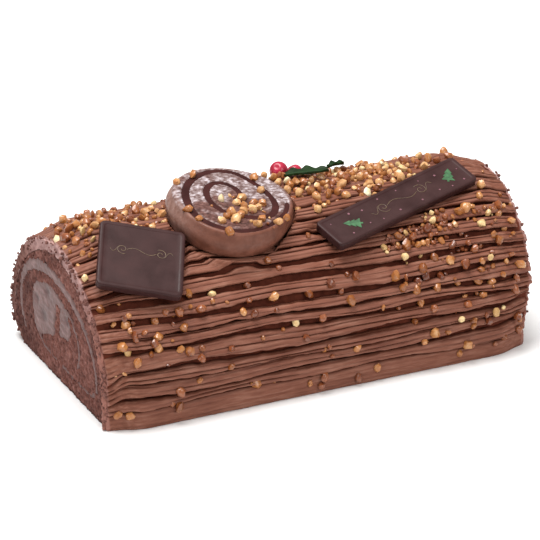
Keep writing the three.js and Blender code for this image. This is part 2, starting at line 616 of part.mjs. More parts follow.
// a piece of chopped nut: an uneven chunk with a few flat sides
function nutSolid(size, centre, random) {
  const block = new THREE.OctahedronGeometry(0.62 * size);
  block.deleteAttribute('normal');
  block.deleteAttribute('uv');
  const chunk = mergeVertices(block, 1e-4);
  const corners = chunk.getAttribute('position');
  for (let i = 0; i < corners.count; i += 1) {
    const pull = mix(0.78, 1.12, random());
    corners.setXYZ(i, corners.getX(i) * pull, corners.getY(i) * pull * 0.84, corners.getZ(i) * pull * 0.7);
  }
  const turn = new THREE.Euler(random() * Math.PI * 2, random() * Math.PI * 2, random() * Math.PI * 2);
  return placedSolid(chunk, new THREE.Matrix4().makeRotationFromEuler(turn).setPosition(centre));
}

// ---- building -----------------------------------------------------------------------------

const squareFrame = frameOf(squarePlaque);
const barFrame = frameOf(barPlaque);
const roundelFrame = frameOf(roundel);

const inBox = (matrix, halfX, halfY, low, high) => {
  const inverse = matrix.clone().invert();
  return (point, reach) => {
    const local = point.clone().applyMatrix4(inverse);
    const over = Math.abs(local.x) < halfX + reach && Math.abs(local.y) < halfY + reach;
    return over && local.z > low && local.z < high;
  };
};
const inDisc = (matrix, radius) => {
  const inverse = matrix.clone().invert();
  return (point, reach) => {
    const local = point.clone().applyMatrix4(inverse);
    return Math.hypot(local.x, local.y) < radius + reach && local.z < 4 && local.z > -20;
  };
};
const inBall = ({ centre, radius }) => (point, reach) =>
  point.distanceTo(new THREE.Vector3(...centre)) < radius + reach + clearance;
const inLeaf = ({ length, width, ...leaf }) => {
  const inverse = leafMatrix(leaf).invert();
  return (point, reach) => {
    const local = point.clone().applyMatrix4(inverse);
    const far = ((local.x - length / 2) / (length / 2)) ** 2 + (local.y / (width / 2)) ** 2;
    return far < 1 && local.z > -reach;
  };
};

const keepOuts = [
  inBox(squareFrame, squarePlaque.length / 2, squarePlaque.width / 2, -12, 4),
  inBox(barFrame, barPlaque.length / 2, barPlaque.width / 2, -12, 4),
  inDisc(roundelFrame, roundel.radius),
  ...berries.map(inBall),
  ...leaves.map(inLeaf),
];

const grown = {
  square: placedSolid(plaqueGeometry(squarePlaque, clearance), squareFrame),
  bar: placedSolid(plaqueGeometry(barPlaque, clearance), barFrame),
  roundel: placedSolid(roundelDisc(clearance), roundelFrame),
  berries: berries.map(({ centre, radius }) => placedSolid(
    new THREE.SphereGeometry(radius + clearance * 1.3, 14, 9),
    new THREE.Matrix4().setPosition(...centre),
  )),
  leaves: leaves.map((leaf) => placedSolid(leafGeometry(leaf, leafThickness, clearance * 1.2), leafMatrix(leaf))),
};

// a bed of icing under the slice, which rises round its foot as a collar
const collarRadius = roundel.radius + roundel.bulge + roundel.collarWidth;
const sliceBed = placedSolid(
  sliceShape(new THREE.CylinderGeometry(collarRadius, collarRadius + roundel.collarSpread, roundel.collarDepth, 32)
    .rotateX(Math.PI / 2)
    .translate(0, 0, roundel.collar - roundel.thickness - roundel.collarDepth / 2), { rim: true }),
  roundelFrame,
);
const nutRandom = randomStream(nutRule.seed + 1);
const icingNuts = nutSpots(keepOuts).slice(0, nutRule.solidCount)
  .map(({ centre, size }) => nutSolid(size, centre, nutRandom));
const bareCoat = toSolid(coatBody()).add(sliceBed).add(toSolid(moundGeometry()));
const coat = icingNuts.reduce((whole, nut) => whole.add(nut), bareCoat);
const icingSolid = tidySolid(cutAll(coat, [
  throughLog(rollOutline(clearance), 0.05),
  grown.square, grown.bar, grown.roundel, ...grown.berries, ...grown.leaves,
]));

const spongeSolid = tidySolid(throughLog(rollOutline(0)).subtract(fillingSolid(clearance, 0.02)));
const creamSolid = tidySolid(fillingSolid(0, 0));

const sliceNuts = roundelNuts.map(([across, along, size]) =>
  nutSolid(size, new THREE.Vector3(across, along, size * nutRule.sliceLift), nutRandom));
const sliceSolid = tidySolid(sliceNuts
  .reduce((whole, nut) => whole.add(nut), toSolid(roundelDisc()))
  .subtract(toSolid(swirlGeometry(clearance, clearance))));

const looks = {
  sponge: { color: palette.sponge, roughness: 0.95 },
  cream: { color: palette.cream, roughness: 0.6 },
  icing: { color: palette.icing, roughness: 0.55 },
  roulade: { color: palette.roulade, roughness: 0.5 },
  ganache: { color: palette.ganache, roughness: 0.4 },
  plaque: { color: palette.plaque, roughness: 0.35 },
  berry: { color: palette.berry, roughness: 0.15 },
  leaf: { color: palette.leaf, roughness: 0.3 },
};

const cake = new THREE.Group();

function addPiece(name, geometry, look, matrix) {
  const mesh = new THREE.Mesh(geometry, new THREE.MeshStandardMaterial({ ...looks[look], metalness: 0 }));
  mesh.name = name;
  if (matrix) matrix.decompose(mesh.position, mesh.quaternion, mesh.scale);
  cake.add(mesh);
}

addPiece('sponge', toGeometry(spongeSolid), 'sponge');
addPiece('filling', toGeometry(creamSolid), 'cream');
addPiece('icing', toGeometry(icingSolid), 'icing');
addPiece('roundel', toGeometry(sliceSolid), 'roulade', roundelFrame);
addPiece('swirl', toGeometry(toSolid(swirlGeometry(0, 0))), 'ganache', roundelFrame);
addPiece('square_plaque', plaqueGeometry(squarePlaque), 'plaque', squareFrame);
addPiece('bar_plaque', plaqueGeometry(barPlaque), 'plaque', barFrame);
for (const { name, centre, radius } of berries) {
  const berry = new THREE.SphereGeometry(radius, 14, 9);
  addPiece(name, berry, 'berry', new THREE.Matrix4().setPosition(...centre));
}
for (const leaf of leaves) addPiece(leaf.name, leafGeometry(leaf, leafThickness), 'leaf', leafMatrix(leaf));

export default cake;
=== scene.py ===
import json
import math

import bmesh
import bpy
import numpy as np
from mathutils import Euler, Matrix, Vector, noise

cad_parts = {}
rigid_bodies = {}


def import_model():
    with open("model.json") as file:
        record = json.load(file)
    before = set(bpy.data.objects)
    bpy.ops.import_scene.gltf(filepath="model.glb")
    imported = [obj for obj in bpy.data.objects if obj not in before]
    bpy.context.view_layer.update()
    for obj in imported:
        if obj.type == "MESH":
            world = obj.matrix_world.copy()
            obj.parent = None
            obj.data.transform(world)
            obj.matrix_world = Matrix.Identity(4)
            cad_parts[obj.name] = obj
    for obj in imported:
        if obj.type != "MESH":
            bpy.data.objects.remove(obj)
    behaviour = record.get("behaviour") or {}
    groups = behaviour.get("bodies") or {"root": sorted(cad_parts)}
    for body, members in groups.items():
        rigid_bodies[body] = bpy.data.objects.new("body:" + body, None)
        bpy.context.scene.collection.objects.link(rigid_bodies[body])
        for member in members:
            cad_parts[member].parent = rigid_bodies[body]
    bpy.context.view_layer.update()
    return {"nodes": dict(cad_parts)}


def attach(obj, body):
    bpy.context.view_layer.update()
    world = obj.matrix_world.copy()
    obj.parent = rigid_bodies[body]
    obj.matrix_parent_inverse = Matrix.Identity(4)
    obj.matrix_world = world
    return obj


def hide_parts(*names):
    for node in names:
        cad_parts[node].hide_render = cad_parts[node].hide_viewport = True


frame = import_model()
mm = 0.001  # sizes below are in millimetres, and meshes are made in metres
print("frame loaded:", len(frame["nodes"]), "nodes")


# small helpers

def mix(a, b, t):
    return a + (b - a) * t


def smooth(t):
    u = np.clip(t, 0, 1)
    return u * u * (3 - 2 * u)


def throughThree(values, t):  # the parabola through values at t = 0, 0.5 and 1
    left, middle, right = values
    return left * (1 - t) * (1 - 2 * t) + middle * 4 * t * (1 - t) + right * t * (2 * t - 1)


def randomStream(seed):
    mask = 0xFFFFFFFF
    state = seed & mask

    def draw():
        nonlocal state
        state = (state + 0x6D2B79F5) & mask
        mixed = ((state ^ (state >> 15)) * (1 | state)) & mask
        mixed = ((mixed + (mixed ^ (mixed >> 7)) * (61 | mixed)) & mask) ^ mixed
        return (mixed ^ (mixed >> 14)) / 4294967296

    return draw


def lump(x, y, z):
    return noise.noise(Vector((x, y, z)))


def addObject(name, data):
    made = bpy.data.objects.new(name, data)
    bpy.context.scene.collection.objects.link(made)
    return made


def meshFrom(name, points, edges=(), faces=()):  # points in millimetres
    mesh = bpy.data.meshes.new(name)
    mesh.from_pydata([tuple(p) for p in np.asarray(points, float) * mm], list(edges), list(faces))
    return mesh


def meshPiece(name, points, faces, material):
    mesh = meshFrom(name, points, faces=[tuple(face) for face in faces])
    mesh.materials.append(material)
    mesh.polygons.foreach_set("use_smooth", [True] * len(mesh.polygons))
    mesh.update()
    return addObject(name, mesh)


def finishPiece(piece, slot, *nodes, sharp=None):
    if sharp is not None:
        piece.data.set_sharp_from_angle(angle=math.radians(sharp))
    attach(piece, "root")
    if nodes:
        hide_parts(*nodes)
    piece.data.calc_loop_triangles()
    print(piece.name, len(piece.data.loop_triangles), "triangles")


def paint(piece, name, values):  # a number for every point, read by the materials
    made = piece.data.attributes.new(name, "FLOAT", "POINT")
    made.data.foreach_set("value", np.asarray(values, np.float32))


def rowsToSurface(rows):  # closed skin over a stack of closed rings, with a fan at each end
    count = len(rows[0])
    points = [p for row in rows for p in row]
    faces = []
    for r in range(len(rows) - 1):
        for i in range(count):
            j = (i + 1) % count
            faces.append((r * count + i, r * count + j, (r + 1) * count + j, (r + 1) * count + i))
    low, high = len(points), len(points) + 1
    points += [np.mean(rows[0], axis=0), np.mean(rows[-1], axis=0)]
    last = (len(rows) - 1) * count
    for i in range(count):
        j = (i + 1) % count
        faces.append((low, j, i))
        faces.append((high, last + i, last + j))
    return np.array(points), faces


def blockSurface(counts, place):  # the skin of a bent block: place(u, v, w) gives a point, all from 0 to 1
    index, points, faces, shares = {}, [], [], []

    def at(*cell):
        if cell not in index:
            share = [c / n for c, n in zip(cell, counts)]
            index[cell] = len(points)
            points.append(place(*share))
            shares.append(share)
        return index[cell]

    for axis in range(3):
        a, b = (axis + 1) % 3, (axis + 2) % 3
        for side in (0, counts[axis]):
            for i in range(counts[a]):
                for j in range(counts[b]):
                    ring = []
                    for di, dj in ((0, 0), (1, 0), (1, 1), (0, 1)):
                        cell = [0, 0, 0]
                        cell[axis], cell[a], cell[b] = side, i + di, j + dj
                        ring.append(at(*cell))
                    faces.append(tuple(ring if side else ring[::-1]))
    return np.array(points), faces, np.array(shares)


def tubeAlong(path, radius, sides=6, rise=0.6):  # a closed tube, flattened by rise
    rows = []
    path = np.array(path, float)
    for i, point in enumerate(path):
        ahead = path[min(i + 1, len(path) - 1)] - path[max(i - 1, 0)]
        across = np.array([-ahead[1], ahead[0], 0]) / max(1e-9, math.hypot(ahead[0], ahead[1]))
        girth = radius * (0.35 if i in (0, len(path) - 1) else 1)
        ring = []
        for k in range(sides):
            turn = math.tau * k / sides
            up = np.array([0, 0, math.sin(turn) * girth * rise])
            ring.append(point + across * math.cos(turn) * girth + up)
        rows.append(ring)
    return rowsToSurface(rows)


def joinShapes(shapes):
    points, faces = [], []
    for shapePoints, shapeFaces in shapes:
        start = len(points)
        points.extend(shapePoints)
        faces.extend(tuple(start + k for k in face) for face in shapeFaces)
    return np.array(points), faces


def outwards(points, faces):  # turns a closed skin's faces round if they point in
    volume = 0
    for face in faces:
        a = points[face[0]]
        for k in range(1, len(face) - 1):
            volume += np.dot(a, np.cross(points[face[k]], points[face[k + 1]]))
    return points, (faces if volume > 0 else [face[::-1] for face in faces])


# camera, light and floor

view = {
    "eye": (-498.97, -1101.64, 601.12), "aim": (0, 0, 36), "focal": 3059.94,  # focal length in pixels
    "frame": 540, "shift": (-5.027, -1.334), "sensor": 36,
}


def makeCamera():
    data = bpy.data.cameras.new("camera")
    data.sensor_width = view["sensor"]
    data.lens = view["focal"] * view["sensor"] / view["frame"]
    data.shift_x, data.shift_y = (s / view["frame"] for s in view["shift"])
    data.clip_start, data.clip_end = 0.05, 20
    camera = addObject("camera", data)
    eye, aim = Vector(view["eye"]) * mm, Vector(view["aim"]) * mm
    camera.location = eye
    camera.rotation_euler = (aim - eye).to_track_quat("-Z", "Y").to_euler()
    bpy.context.scene.camera = camera


lights = [  # place and aim in metres
    {"name": "overhead", "at": (-0.15, 0.15, 1.1), "size": 0.7, "power": 17.0, "tint": (1, 0.99, 0.97)},
    {"name": "front", "at": (0.35, -1.0, 0.85), "size": 0.6, "power": 6.0, "tint": (1, 0.98, 0.95)},
    {"name": "left", "at": (-1.2, -0.3, 0.5), "size": 0.6, "power": 2.5, "tint": (0.96, 0.97, 1)},
]
lightAim = (0, 0, 0.04)
worldLight = 0.42


def makeLights():
    for light in lights:
        data = bpy.data.lights.new(light["name"], "AREA")
        data.shape = "DISK"
        data.size = light["size"]
        data.energy = light["power"]
        data.color = light["tint"]
        lamp = addObject(light["name"], data)
        lamp.location = light["at"]
        lamp.rotation_euler = (Vector(lightAim) - lamp.location).to_track_quat("-Z", "Y").to_euler()
    world = bpy.data.worlds.new("studio")
    world.use_nodes = True
    background = world.node_tree.nodes["Background"]
    background.inputs["Color"].default_value = (1, 1, 1, 1)
    background.inputs["Strength"].default_value = worldLight
    bpy.context.scene.world = world
    bpy.context.scene.view_settings.view_transform = "Standard"
    bpy.context.scene.view_settings.look = "None"


floorLook = {"half": 4000, "tone": 0.93, "roughness": 0.9, "below": 0.2}  # lengths in millimetres


def makeFloor():
    half, tone = floorLook["half"], floorLook["tone"]
    corners = [(-half, -half, 0), (half, -half, 0), (half, half, 0), (-half, half, 0)]
    material = bpy.data.materials.new("pale floor")
    material.use_nodes = True
    shader = material.node_tree.nodes["Principled BSDF"]
    shader.inputs["Base Color"].default_value = (tone, tone, tone, 1)
    shader.inputs["Roughness"].default_value = floorLook["roughness"]
    floor = meshPiece("floor", corners, [(0, 1, 2, 3)], material)
    floor.location.z = -floorLook["below"] * mm


makeCamera()
makeLights()
makeFloor()
print("camera, light and floor made")


# node helpers

def addNode(tree, kind, inputs=None, **settings):
    made = tree.nodes.new(kind)
    for key, value in settings.items():
        setattr(made, key, value)
    for key, value in (inputs or {}).items():
        socket = made.inputs[key]
        if isinstance(value, bpy.types.NodeSocket):
            tree.links.new(value, socket)
        else:
            socket.default_value = value
    return made


def mathsIn(tree):
    def do(operation, *values):
        return addNode(tree, "ShaderNodeMath", dict(enumerate(values)), operation=operation).outputs[0]
    return do


def vectorsIn(tree):
    def do(operation, *values):
        if operation == "SCALE":
            inputs = {0: values[0], "Scale": values[1]}
        else:
            inputs = dict(enumerate(values))
        made = addNode(tree, "ShaderNodeVectorMath", inputs, operation=operation)
        return made.outputs["Value" if operation == "DOT_PRODUCT" else "Vector"]
    return do


def partsOf(tree, vector):
    return addNode(tree, "ShaderNodeSeparateXYZ", {0: vector}).outputs


def stepIn(tree, value, low, high, to=(0.0, 1.0)):
    inputs = {"Value": value, "From Min": low, "From Max": high, "To Min": to[0], "To Max": to[1]}
    made = addNode(tree, "ShaderNodeMapRange", inputs, interpolation_type="SMOOTHSTEP")
    return made.outputs["Result"]


# materials

class Finish:  # a Principled material with its node tree and a few short ways to add to it
    def __init__(self, name, **constants):
        self.material = bpy.data.materials.new(name)
        self.material.use_nodes = True
        self.tree = self.material.node_tree
        self.shader = self.tree.nodes["Principled BSDF"]
        for key, value in constants.items():
            self.shader.inputs[key.replace("_", " ")].default_value = value
        self.place = addNode(self.tree, "ShaderNodeTexCoord").outputs["Object"]
        self.maths = mathsIn(self.tree)

    def stretched(self, scale, turn=(0, 0, 0)):
        inputs = {"Vector": self.place, "Scale": scale, "Rotation": turn}
        return addNode(self.tree, "ShaderNodeMapping", inputs).outputs["Vector"]

    def noise(self, scale, detail=3.0, place=None):
        inputs = {"Vector": place or self.place, "Scale": scale, "Detail": detail, "Roughness": 0.55}
        return addNode(self.tree, "ShaderNodeTexNoise", inputs).outputs["Fac"]

    def cells(self, scale):
        inputs = {"Vector": self.place, "Scale": scale}
        return addNode(self.tree, "ShaderNodeTexVoronoi", inputs).outputs["Distance"]

    def painted(self, name):
        return addNode(self.tree, "ShaderNodeAttribute", attribute_name=name).outputs["Fac"]

    def weighed(self, *pairs):  # the sum of some values, each times its share
        total = 0.0
        for value, share in pairs:
            total = self.maths("MULTIPLY_ADD", value, share, total)
        return total

    def ramp(self, value, stops):
        made = addNode(self.tree, "ShaderNodeValToRGB", {"Fac": value})
        colours = made.color_ramp.elements
        while len(colours) < len(stops):
            colours.new(0.5)
        for element, (position, colour) in zip(colours, stops):
            element.position = position
            element.color = (*colour, 1)
        return made.outputs["Color"]

    def blend(self, share, first, second):
        made = addNode(self.tree, "ShaderNodeMix", data_type="RGBA")
        for socket, value in ((made.inputs[0], share), (made.inputs[6], first), (made.inputs[7], second)):
            if isinstance(value, bpy.types.NodeSocket):
                self.tree.links.new(value, socket)
            else:
                socket.default_value = (*value, 1)
        return made.outputs[2]

    def colour(self, value):
        self.tree.links.new(value, self.shader.inputs["Base Color"])

    def roughOver(self, value, low, high, ends):  # roughness goes from end to end as the value rises
        self.tree.links.new(stepIn(self.tree, value, low, high, ends), self.shader.inputs["Roughness"])

    def bump(self, height, strength, distance):
        inputs = {"Height": height, "Strength": strength, "Distance": distance * mm}
        made = addNode(self.tree, "ShaderNodeBump", inputs)
        self.tree.links.new(made.outputs["Normal"], self.shader.inputs["Normal"])


coatLook = {  # colours as ramps: position and colour of each stop
    "comb": ((0.3, (0.125, 0.037, 0.021)), (0.5, (0.2, 0.073, 0.045)), (0.72, (0.31, 0.148, 0.103))),
    # painted shade for the comb's grooves and the deep sides of the strokes
    "hollowShade": (0.055, 0.013, 0.0065),
    # the base coat is painted dark, as the shade between the strokes
    "gap": ((0.3, (0.062, 0.0135, 0.0075)), (0.7, (0.12, 0.029, 0.0155))),
    "cutFront": ((0.3, (0.185, 0.074, 0.055)), (0.68, (0.34, 0.15, 0.117))),
    "cutTop": ((0.3, (0.255, 0.14, 0.128)), (0.68, (0.44, 0.275, 0.255))),
    "cutBack": ((0.3, (0.085, 0.034, 0.027)), (0.68, (0.2, 0.096, 0.08))),
    "cutReach": (0.4, 1.2),  # the knife's smear fades out between these distances from the cut
    "topFrom": (36, 62), "backFrom": (22, 50),  # heights, and places towards the back, of the blends
}


def cutMask(finish):  # 1 on the two knife cuts, 0 away from them
    dot = vectorsIn(finish.tree)
    near, far = coatLook["cutReach"]
    masks = []
    for side, lean in ((-1, leftCut), (1, rightCut)):
        normal = Vector((1, -lean["perY"], -lean["perZ"]))
        level = (side * logLength / 2 - lean["perZ"] * cutPivotZ) * mm
        away = finish.maths("SUBTRACT", dot("DOT_PRODUCT", finish.place, tuple(normal)), level)
        away = finish.maths("MULTIPLY", away, -side)
        masks.append(stepIn(finish.tree, away, far * mm, near * mm))
    return finish.maths("MAXIMUM", *masks)


def cutIcing(finish):  # icing where the knife went through: palest over the top, darkest at the back
    grain = finish.noise(380, 4.0)
    _, y, z = partsOf(finish.tree, finish.place)
    front, top, back = (finish.ramp(grain, coatLook[key]) for key in ("cutFront", "cutTop", "cutBack"))
    upward, backward = ([at * mm for at in coatLook[key]] for key in ("topFrom", "backFrom"))
    over = finish.blend(stepIn(finish.tree, z, *upward), front, top)
    return finish.blend(stepIn(finish.tree, y, *backward), over, back)


def buttercreamFinish():
    finish = Finish("combed buttercream", Roughness=0.5, Specular_IOR_Level=0.2)
    streak = finish.noise(1.0, 4.0, finish.stretched((90, 900, 900)))
    cloud = finish.noise(60)
    colour = finish.ramp(finish.weighed((streak, 0.6), (cloud, 0.4)), coatLook["comb"])
    # painted shade in the grooves and low on the sides of each stroke
    colour = finish.blend(finish.painted("hollowShade"), colour, coatLook["hollowShade"])
    finish.colour(finish.blend(cutMask(finish), colour, cutIcing(finish)))
    finish.roughOver(cloud, 0.3, 0.7, (0.48, 0.65))
    finish.bump(finish.maths("ADD", streak, finish.noise(700)), 0.3, 0.22)
    return finish.material


def gapShadeFinish():
    # painted shade: the base coat's dark colour stands for the shade in the gaps between the strokes
    finish = Finish("painted-shade buttercream between the strokes", Roughness=0.85, Specular_IOR_Level=0.1)
    colour = finish.ramp(finish.noise(260, 4.0), coatLook["gap"])
    finish.colour(finish.blend(cutMask(finish), colour, cutIcing(finish)))
    finish.bump(finish.noise(500, 4.0), 0.5, 0.4)
    return finish.material


spongeLook = {
    "tone": ((0.28, (0.045, 0.014, 0.011)), (0.5, (0.15, 0.054, 0.041)), (0.7, (0.3, 0.135, 0.11))),
    # painted shade in the pores, over the low crumb, along the rim and over the back of the face
    "hollowShade": (0.03, 0.01, 0.009),
    "crumb": ((0.3, (0.09, 0.034, 0.027)), (0.68, (0.23, 0.108, 0.09))),  # loose crumb on the rims
}


def spongeFinish():
    finish = Finish("cocoa sponge", Roughness=0.9, Specular_IOR_Level=0.2)
    crumb = finish.noise(500, 6.0)
    colour = finish.ramp(finish.weighed((crumb, 0.67), (finish.noise(70, 2.0), 0.335)), spongeLook["tone"])
    # painted shade from the cut face's relief
    finish.colour(finish.blend(finish.painted("hollowShade"), colour, spongeLook["hollowShade"]))
    finish.bump(finish.maths("ADD", crumb, finish.cells(650)), 0.7, 0.5)
    return finish.material


def crumbFinish():
    finish = Finish("cocoa crumb", Roughness=0.9, Specular_IOR_Level=0.15)
    finish.colour(finish.ramp(finish.noise(420, 5.0), spongeLook["crumb"]))
    finish.bump(finish.noise(900, 4.0), 0.6, 0.4)
    return finish.material


creamLook = {
    "tone": ((0.3, (0.08, 0.034, 0.03)), (0.5, (0.138, 0.066, 0.06)), (0.7, (0.255, 0.137, 0.128))),
    # painted shade in the dents, with darker streaks along the knife's drag
    "hollowShade": (0.075, 0.042, 0.04),
    "soakAndShade": (0.1, 0.039, 0.032),  # painted shade low down, darker at both sides, and the sponge's colour at the edges
}


def creamFinish():
    finish = Finish("mocha cream", Roughness=0.5, Specular_IOR_Level=0.25)
    smear = finish.noise(1.0, 4.0, finish.stretched((300, 180, 520), (0.5, 0, 0)))
    colour = finish.ramp(finish.weighed((smear, 0.55), (finish.noise(120), 0.45)), creamLook["tone"])
    # painted shade in the dents and low down, darker at the sides, and the sponge's colour at the edges
    for mask in ("hollowShade", "soakAndShade"):
        colour = finish.blend(finish.painted(mask), colour, creamLook[mask])
    finish.colour(colour)
    finish.bump(finish.maths("ADD", smear, finish.noise(900)), 0.4, 0.3)
    return finish.material


def nutFinish(name, tones, gloss):
    finish = Finish(name, Roughness=gloss, Specular_IOR_Level=0.5, Coat_Weight=0.25, Coat_Roughness=0.15)
    tone = finish.weighed((finish.noise(300), 0.6), (finish.painted("tint"), 0.5))
    finish.colour(finish.ramp(tone, tuple(zip((0.3, 0.55, 0.82), tones))))
    finish.bump(finish.noise(900), 0.35, 0.3)
    return finish.material


def plaqueFinish():
    finish = Finish("dark chocolate", Roughness=0.42, Specular_IOR_Level=0.16)
    bloom = finish.noise(90, 5.0)
    finish.colour(finish.ramp(bloom, ((0.3, (0.027, 0.0098, 0.0095)), (0.7, (0.047, 0.0185, 0.018)))))
    finish.roughOver(bloom, 0.3, 0.7, (0.36, 0.52))
    finish.bump(finish.weighed((bloom, 1.0), (finish.noise(900), 0.3)), 0.2, 0.3)
    return finish.material


sliceLook = {
    "brown": ((0.36, (0.036, 0.012, 0.009)), (0.49, (0.095, 0.036, 0.028)), (0.64, (0.21, 0.105, 0.09))),
    # the pale colour carries the painted sheen as well as pale dust
    "pale": ((0.38, (0.085, 0.038, 0.033)), (0.5, (0.22, 0.155, 0.15)), (0.63, (0.56, 0.5, 0.53))),
    "skin": ((0.3, (0.115, 0.038, 0.022)), (0.7, (0.185, 0.067, 0.042))),
    "powder": ((0.3, (0.18, 0.09, 0.068)), (0.7, (0.32, 0.2, 0.17))),
}


def sliceFinish():
    finish = Finish("roulade slice", Roughness=0.45, Specular_IOR_Level=0.3)
    grain = finish.noise(1.0, 4.0, finish.stretched((480, 900, 900)))
    pores = finish.noise(420)
    tone = finish.weighed((grain, 0.6), (pores, 0.4))
    brown, pale = (finish.ramp(tone, sliceLook[key]) for key in ("brown", "pale"))
    # painted sheen: the pale colour is laid where the face would reflect
    inside = finish.blend(finish.painted("sheen"), brown, pale)
    skin = finish.ramp(finish.noise(260, 4.0), sliceLook["skin"])
    skin = finish.blend(finish.painted("powder"), skin, finish.ramp(pores, sliceLook["powder"]))
    finish.colour(finish.blend(finish.painted("rind"), inside, skin))
    finish.roughOver(grain, 0.35, 0.65, (0.6, 0.36))
    finish.bump(finish.maths("ADD", grain, pores), 0.35, 0.25)
    return finish.material


def ganacheFinish():
    finish = Finish("dark ganache", Roughness=0.55, Specular_IOR_Level=0.1)
    cloud = finish.noise(160)
    finish.colour(finish.ramp(cloud, ((0.3, (0.028, 0.007, 0.006)), (0.7, (0.055, 0.0145, 0.0125)))))
    finish.roughOver(cloud, 0.3, 0.7, (0.45, 0.62))
    finish.bump(finish.noise(500), 0.25, 0.2)
    return finish.material


def berryFinish():
    finish = Finish("red berry", Roughness=0.28, Specular_IOR_Level=0.35, Coat_Weight=0.1,
                    Coat_Roughness=0.15)
    finish.colour(finish.ramp(finish.noise(260), ((0.3, (0.27, 0.006, 0.022)), (0.7, (0.45, 0.022, 0.06)))))
    finish.bump(finish.noise(600, 2.0), 0.08, 0.2)
    return finish.material


def leafFinish():
    finish = Finish("holly leaf", Roughness=0.48, Specular_IOR_Level=0.16)
    blade = finish.ramp(finish.noise(220, 4.0), ((0.3, (0.004, 0.0135, 0.003)), (0.7, (0.012, 0.034, 0.008))))
    finish.colour(finish.blend(finish.painted("vein"), blade, (0.019, 0.052, 0.016)))
    finish.bump(finish.noise(800), 0.2, 0.2)
    return finish.material


def printFinish(name, dark, light):
    finish = Finish(name, Roughness=0.45)
    finish.colour(finish.ramp(finish.noise(700), ((0.35, dark), (0.65, light))))
    return finish.material


# the log's section: the same driving sizes as the part

logLength = 200
crestHeight = 67
roundness = 1.88
frontHalf = {"reach": 48, "foot": 47, "widestZ": 20}
backHalf = {"reach": 58.6, "foot": 47.7, "widestZ": 13}
bodySwell = 4.3
endDip = 16
leftCut = {"perY": -0.034, "perZ": -0.027}
rightCut = {"perY": -0.031, "perZ": 0.116}
cutPivotZ = 30
referenceSwell = 3
coatThickness = {"front": 6.5, "top": 6.5, "back": 4.5}
strokes = {
    "gaps": [  # how far up the coat at the left end, the middle and the right end, and how far each gap opens
        ((8.8, 9.5, 7.0), (0.5, 0.5, 0.2)), ((14.2, 14.2, 15.5), (0.8, 0.7, 1.3)),
        ((21.5, 19.8, 20.6), (0.5, 0.4, 0.2)), ((27.0, 24.8, 25.6), (0.8, 1.0, 0.9)),
        ((36.0, 33.6, 30.0), (0.8, 1.0, 0.5)), ((41.4, 38.8, 36.0), (0.3, 0.4, 0.7)),
        ((48.6, 44.3, 43.5), (1.3, 1.4, 0.5)), ((55.8, 53.0, 50.3), (1.3, 1.5, 0.7)),
        ((62.5, 60.2, 57.3), (0.8, 1.0, 0.9)), ((69.0, 67.3, 64.5), (0.5, 0.5, 0.5)),
        ((75.0, 73.0, 71.0), (0.5, 0.6, 0.5)), ((81.0, 79.5, 78.0), (0.5, 0.6, 0.5)),
    ],
    "backPitch": 7.4, "depth": 3.6, "wander": 0.6, "overhang": 0.6, "seed": 77, "steps": 190, "root": 4.8,
    "ridgePitch": 2.3, "ridgeDepth": 0.75, "ridgeDrift": 2.2,
    "lowestComb": 0.35,  # the lowest stroke is nearly smooth
    "lumps": 0.55, "lipRipple": 2.1, "tilt": 0.45,
    "openness": (0.85, 1.3),  # gaps open wider low down at the right
    "openBelow": 52, "openFade": 20, "openRight": 70,
    "cornerBend": 0.22, "cornerReach": (-88, 12), "cornerHeight": (24, 14),
    "ragged": 2.4, "nose": (0, 0.35, 0.8, 1.4, 2.2, 3.2), "noseDrop": (0.7, 1.7), "noseNarrowing": 0.25,
}
baseCoat = {  # the icing under the strokes
    "cells": (240, 7, 90), "depth": 3.0, "endDepth": 1.5, "endReach": 7, "uneven": 0.35,
    "ragged": 1.5, "raggedReach": 5, "inset": 0.997,  # its inner side stays clear of the roll
}
combNoise = {  # sizes in millimetres along and up the coat
    "drift": (60, 30), "fade": (60, 3.0), "fadeFrom": (-0.14, 0.12), "fadeTo": (0.3, 1.25),
    "swells": ((16, 5, 1.6), (10, 0.9, 0.4)),  # and the share of each
    "ripple": (11, 60), "flutter": (4, 60), "flutterShare": 0.45, "sharpness": 2.2,
}
footLip = {"reach": 2, "height": 6, "length": 6}  # icing pushed out past the left cut at the table


def halfSection(half, swell):
    reach, foot, widest = half["reach"], half["foot"], half["widestZ"]
    z = widest * np.arange(12) / 12
    low = np.stack([reach + swell - (reach - foot) * ((widest - z) / widest) ** 2, z], 1)
    turn = np.pi / 2 * np.arange(91) / 90
    across = (reach + swell) * np.abs(np.cos(turn)) ** (2 / roundness)
    up = widest + (crestHeight + swell - widest) * np.sin(turn) ** (2 / roundness)
    return np.concatenate([low, np.stack([across, up], 1)])


def archPoints(swell):  # from the front foot over the crest to the back foot, as (y, z)
    front = halfSection(frontHalf, swell) * (-1, 1)
    back = halfSection(backHalf, swell)[::-1]
    return np.concatenate([front, back[1:]]), len(front) - 1


def runOf(points):
    return np.concatenate([[0], np.cumsum(np.hypot(*np.diff(points, axis=0).T))])


bareArch, crestIndex = archPoints(0)
archGrowth = archPoints(1)[0] - bareArch
referenceRun = runOf(bareArch + referenceSwell * archGrowth)
girth, crestAt = referenceRun[-1], referenceRun[crestIndex]


def swellAt(share):
    return bodySwell * smooth(np.minimum(share, 1 - share) * logLength / endDip)


def cutX(side, lean, y, z):
    return side * logLength / 2 + lean["perY"] * y + lean["perZ"] * (z - cutPivotZ)


def alongX(share, y, z):
    return mix(cutX(-1, leftCut, y, z), cutX(1, rightCut, y, z), share)


def sectionAt(share, s):
    index = np.interp(s, referenceRun, np.arange(len(referenceRun)))
    low = np.clip(np.floor(index).astype(int), 0, len(referenceRun) - 2)
    t = (index - low)[..., None]
    swell = swellAt(share)[..., None] if np.ndim(share) else swellAt(share)
    bare = mix(bareArch[low], bareArch[low + 1], t)
    growth = mix(archGrowth[low], archGrowth[low + 1], t)
    return bare + swell * growth


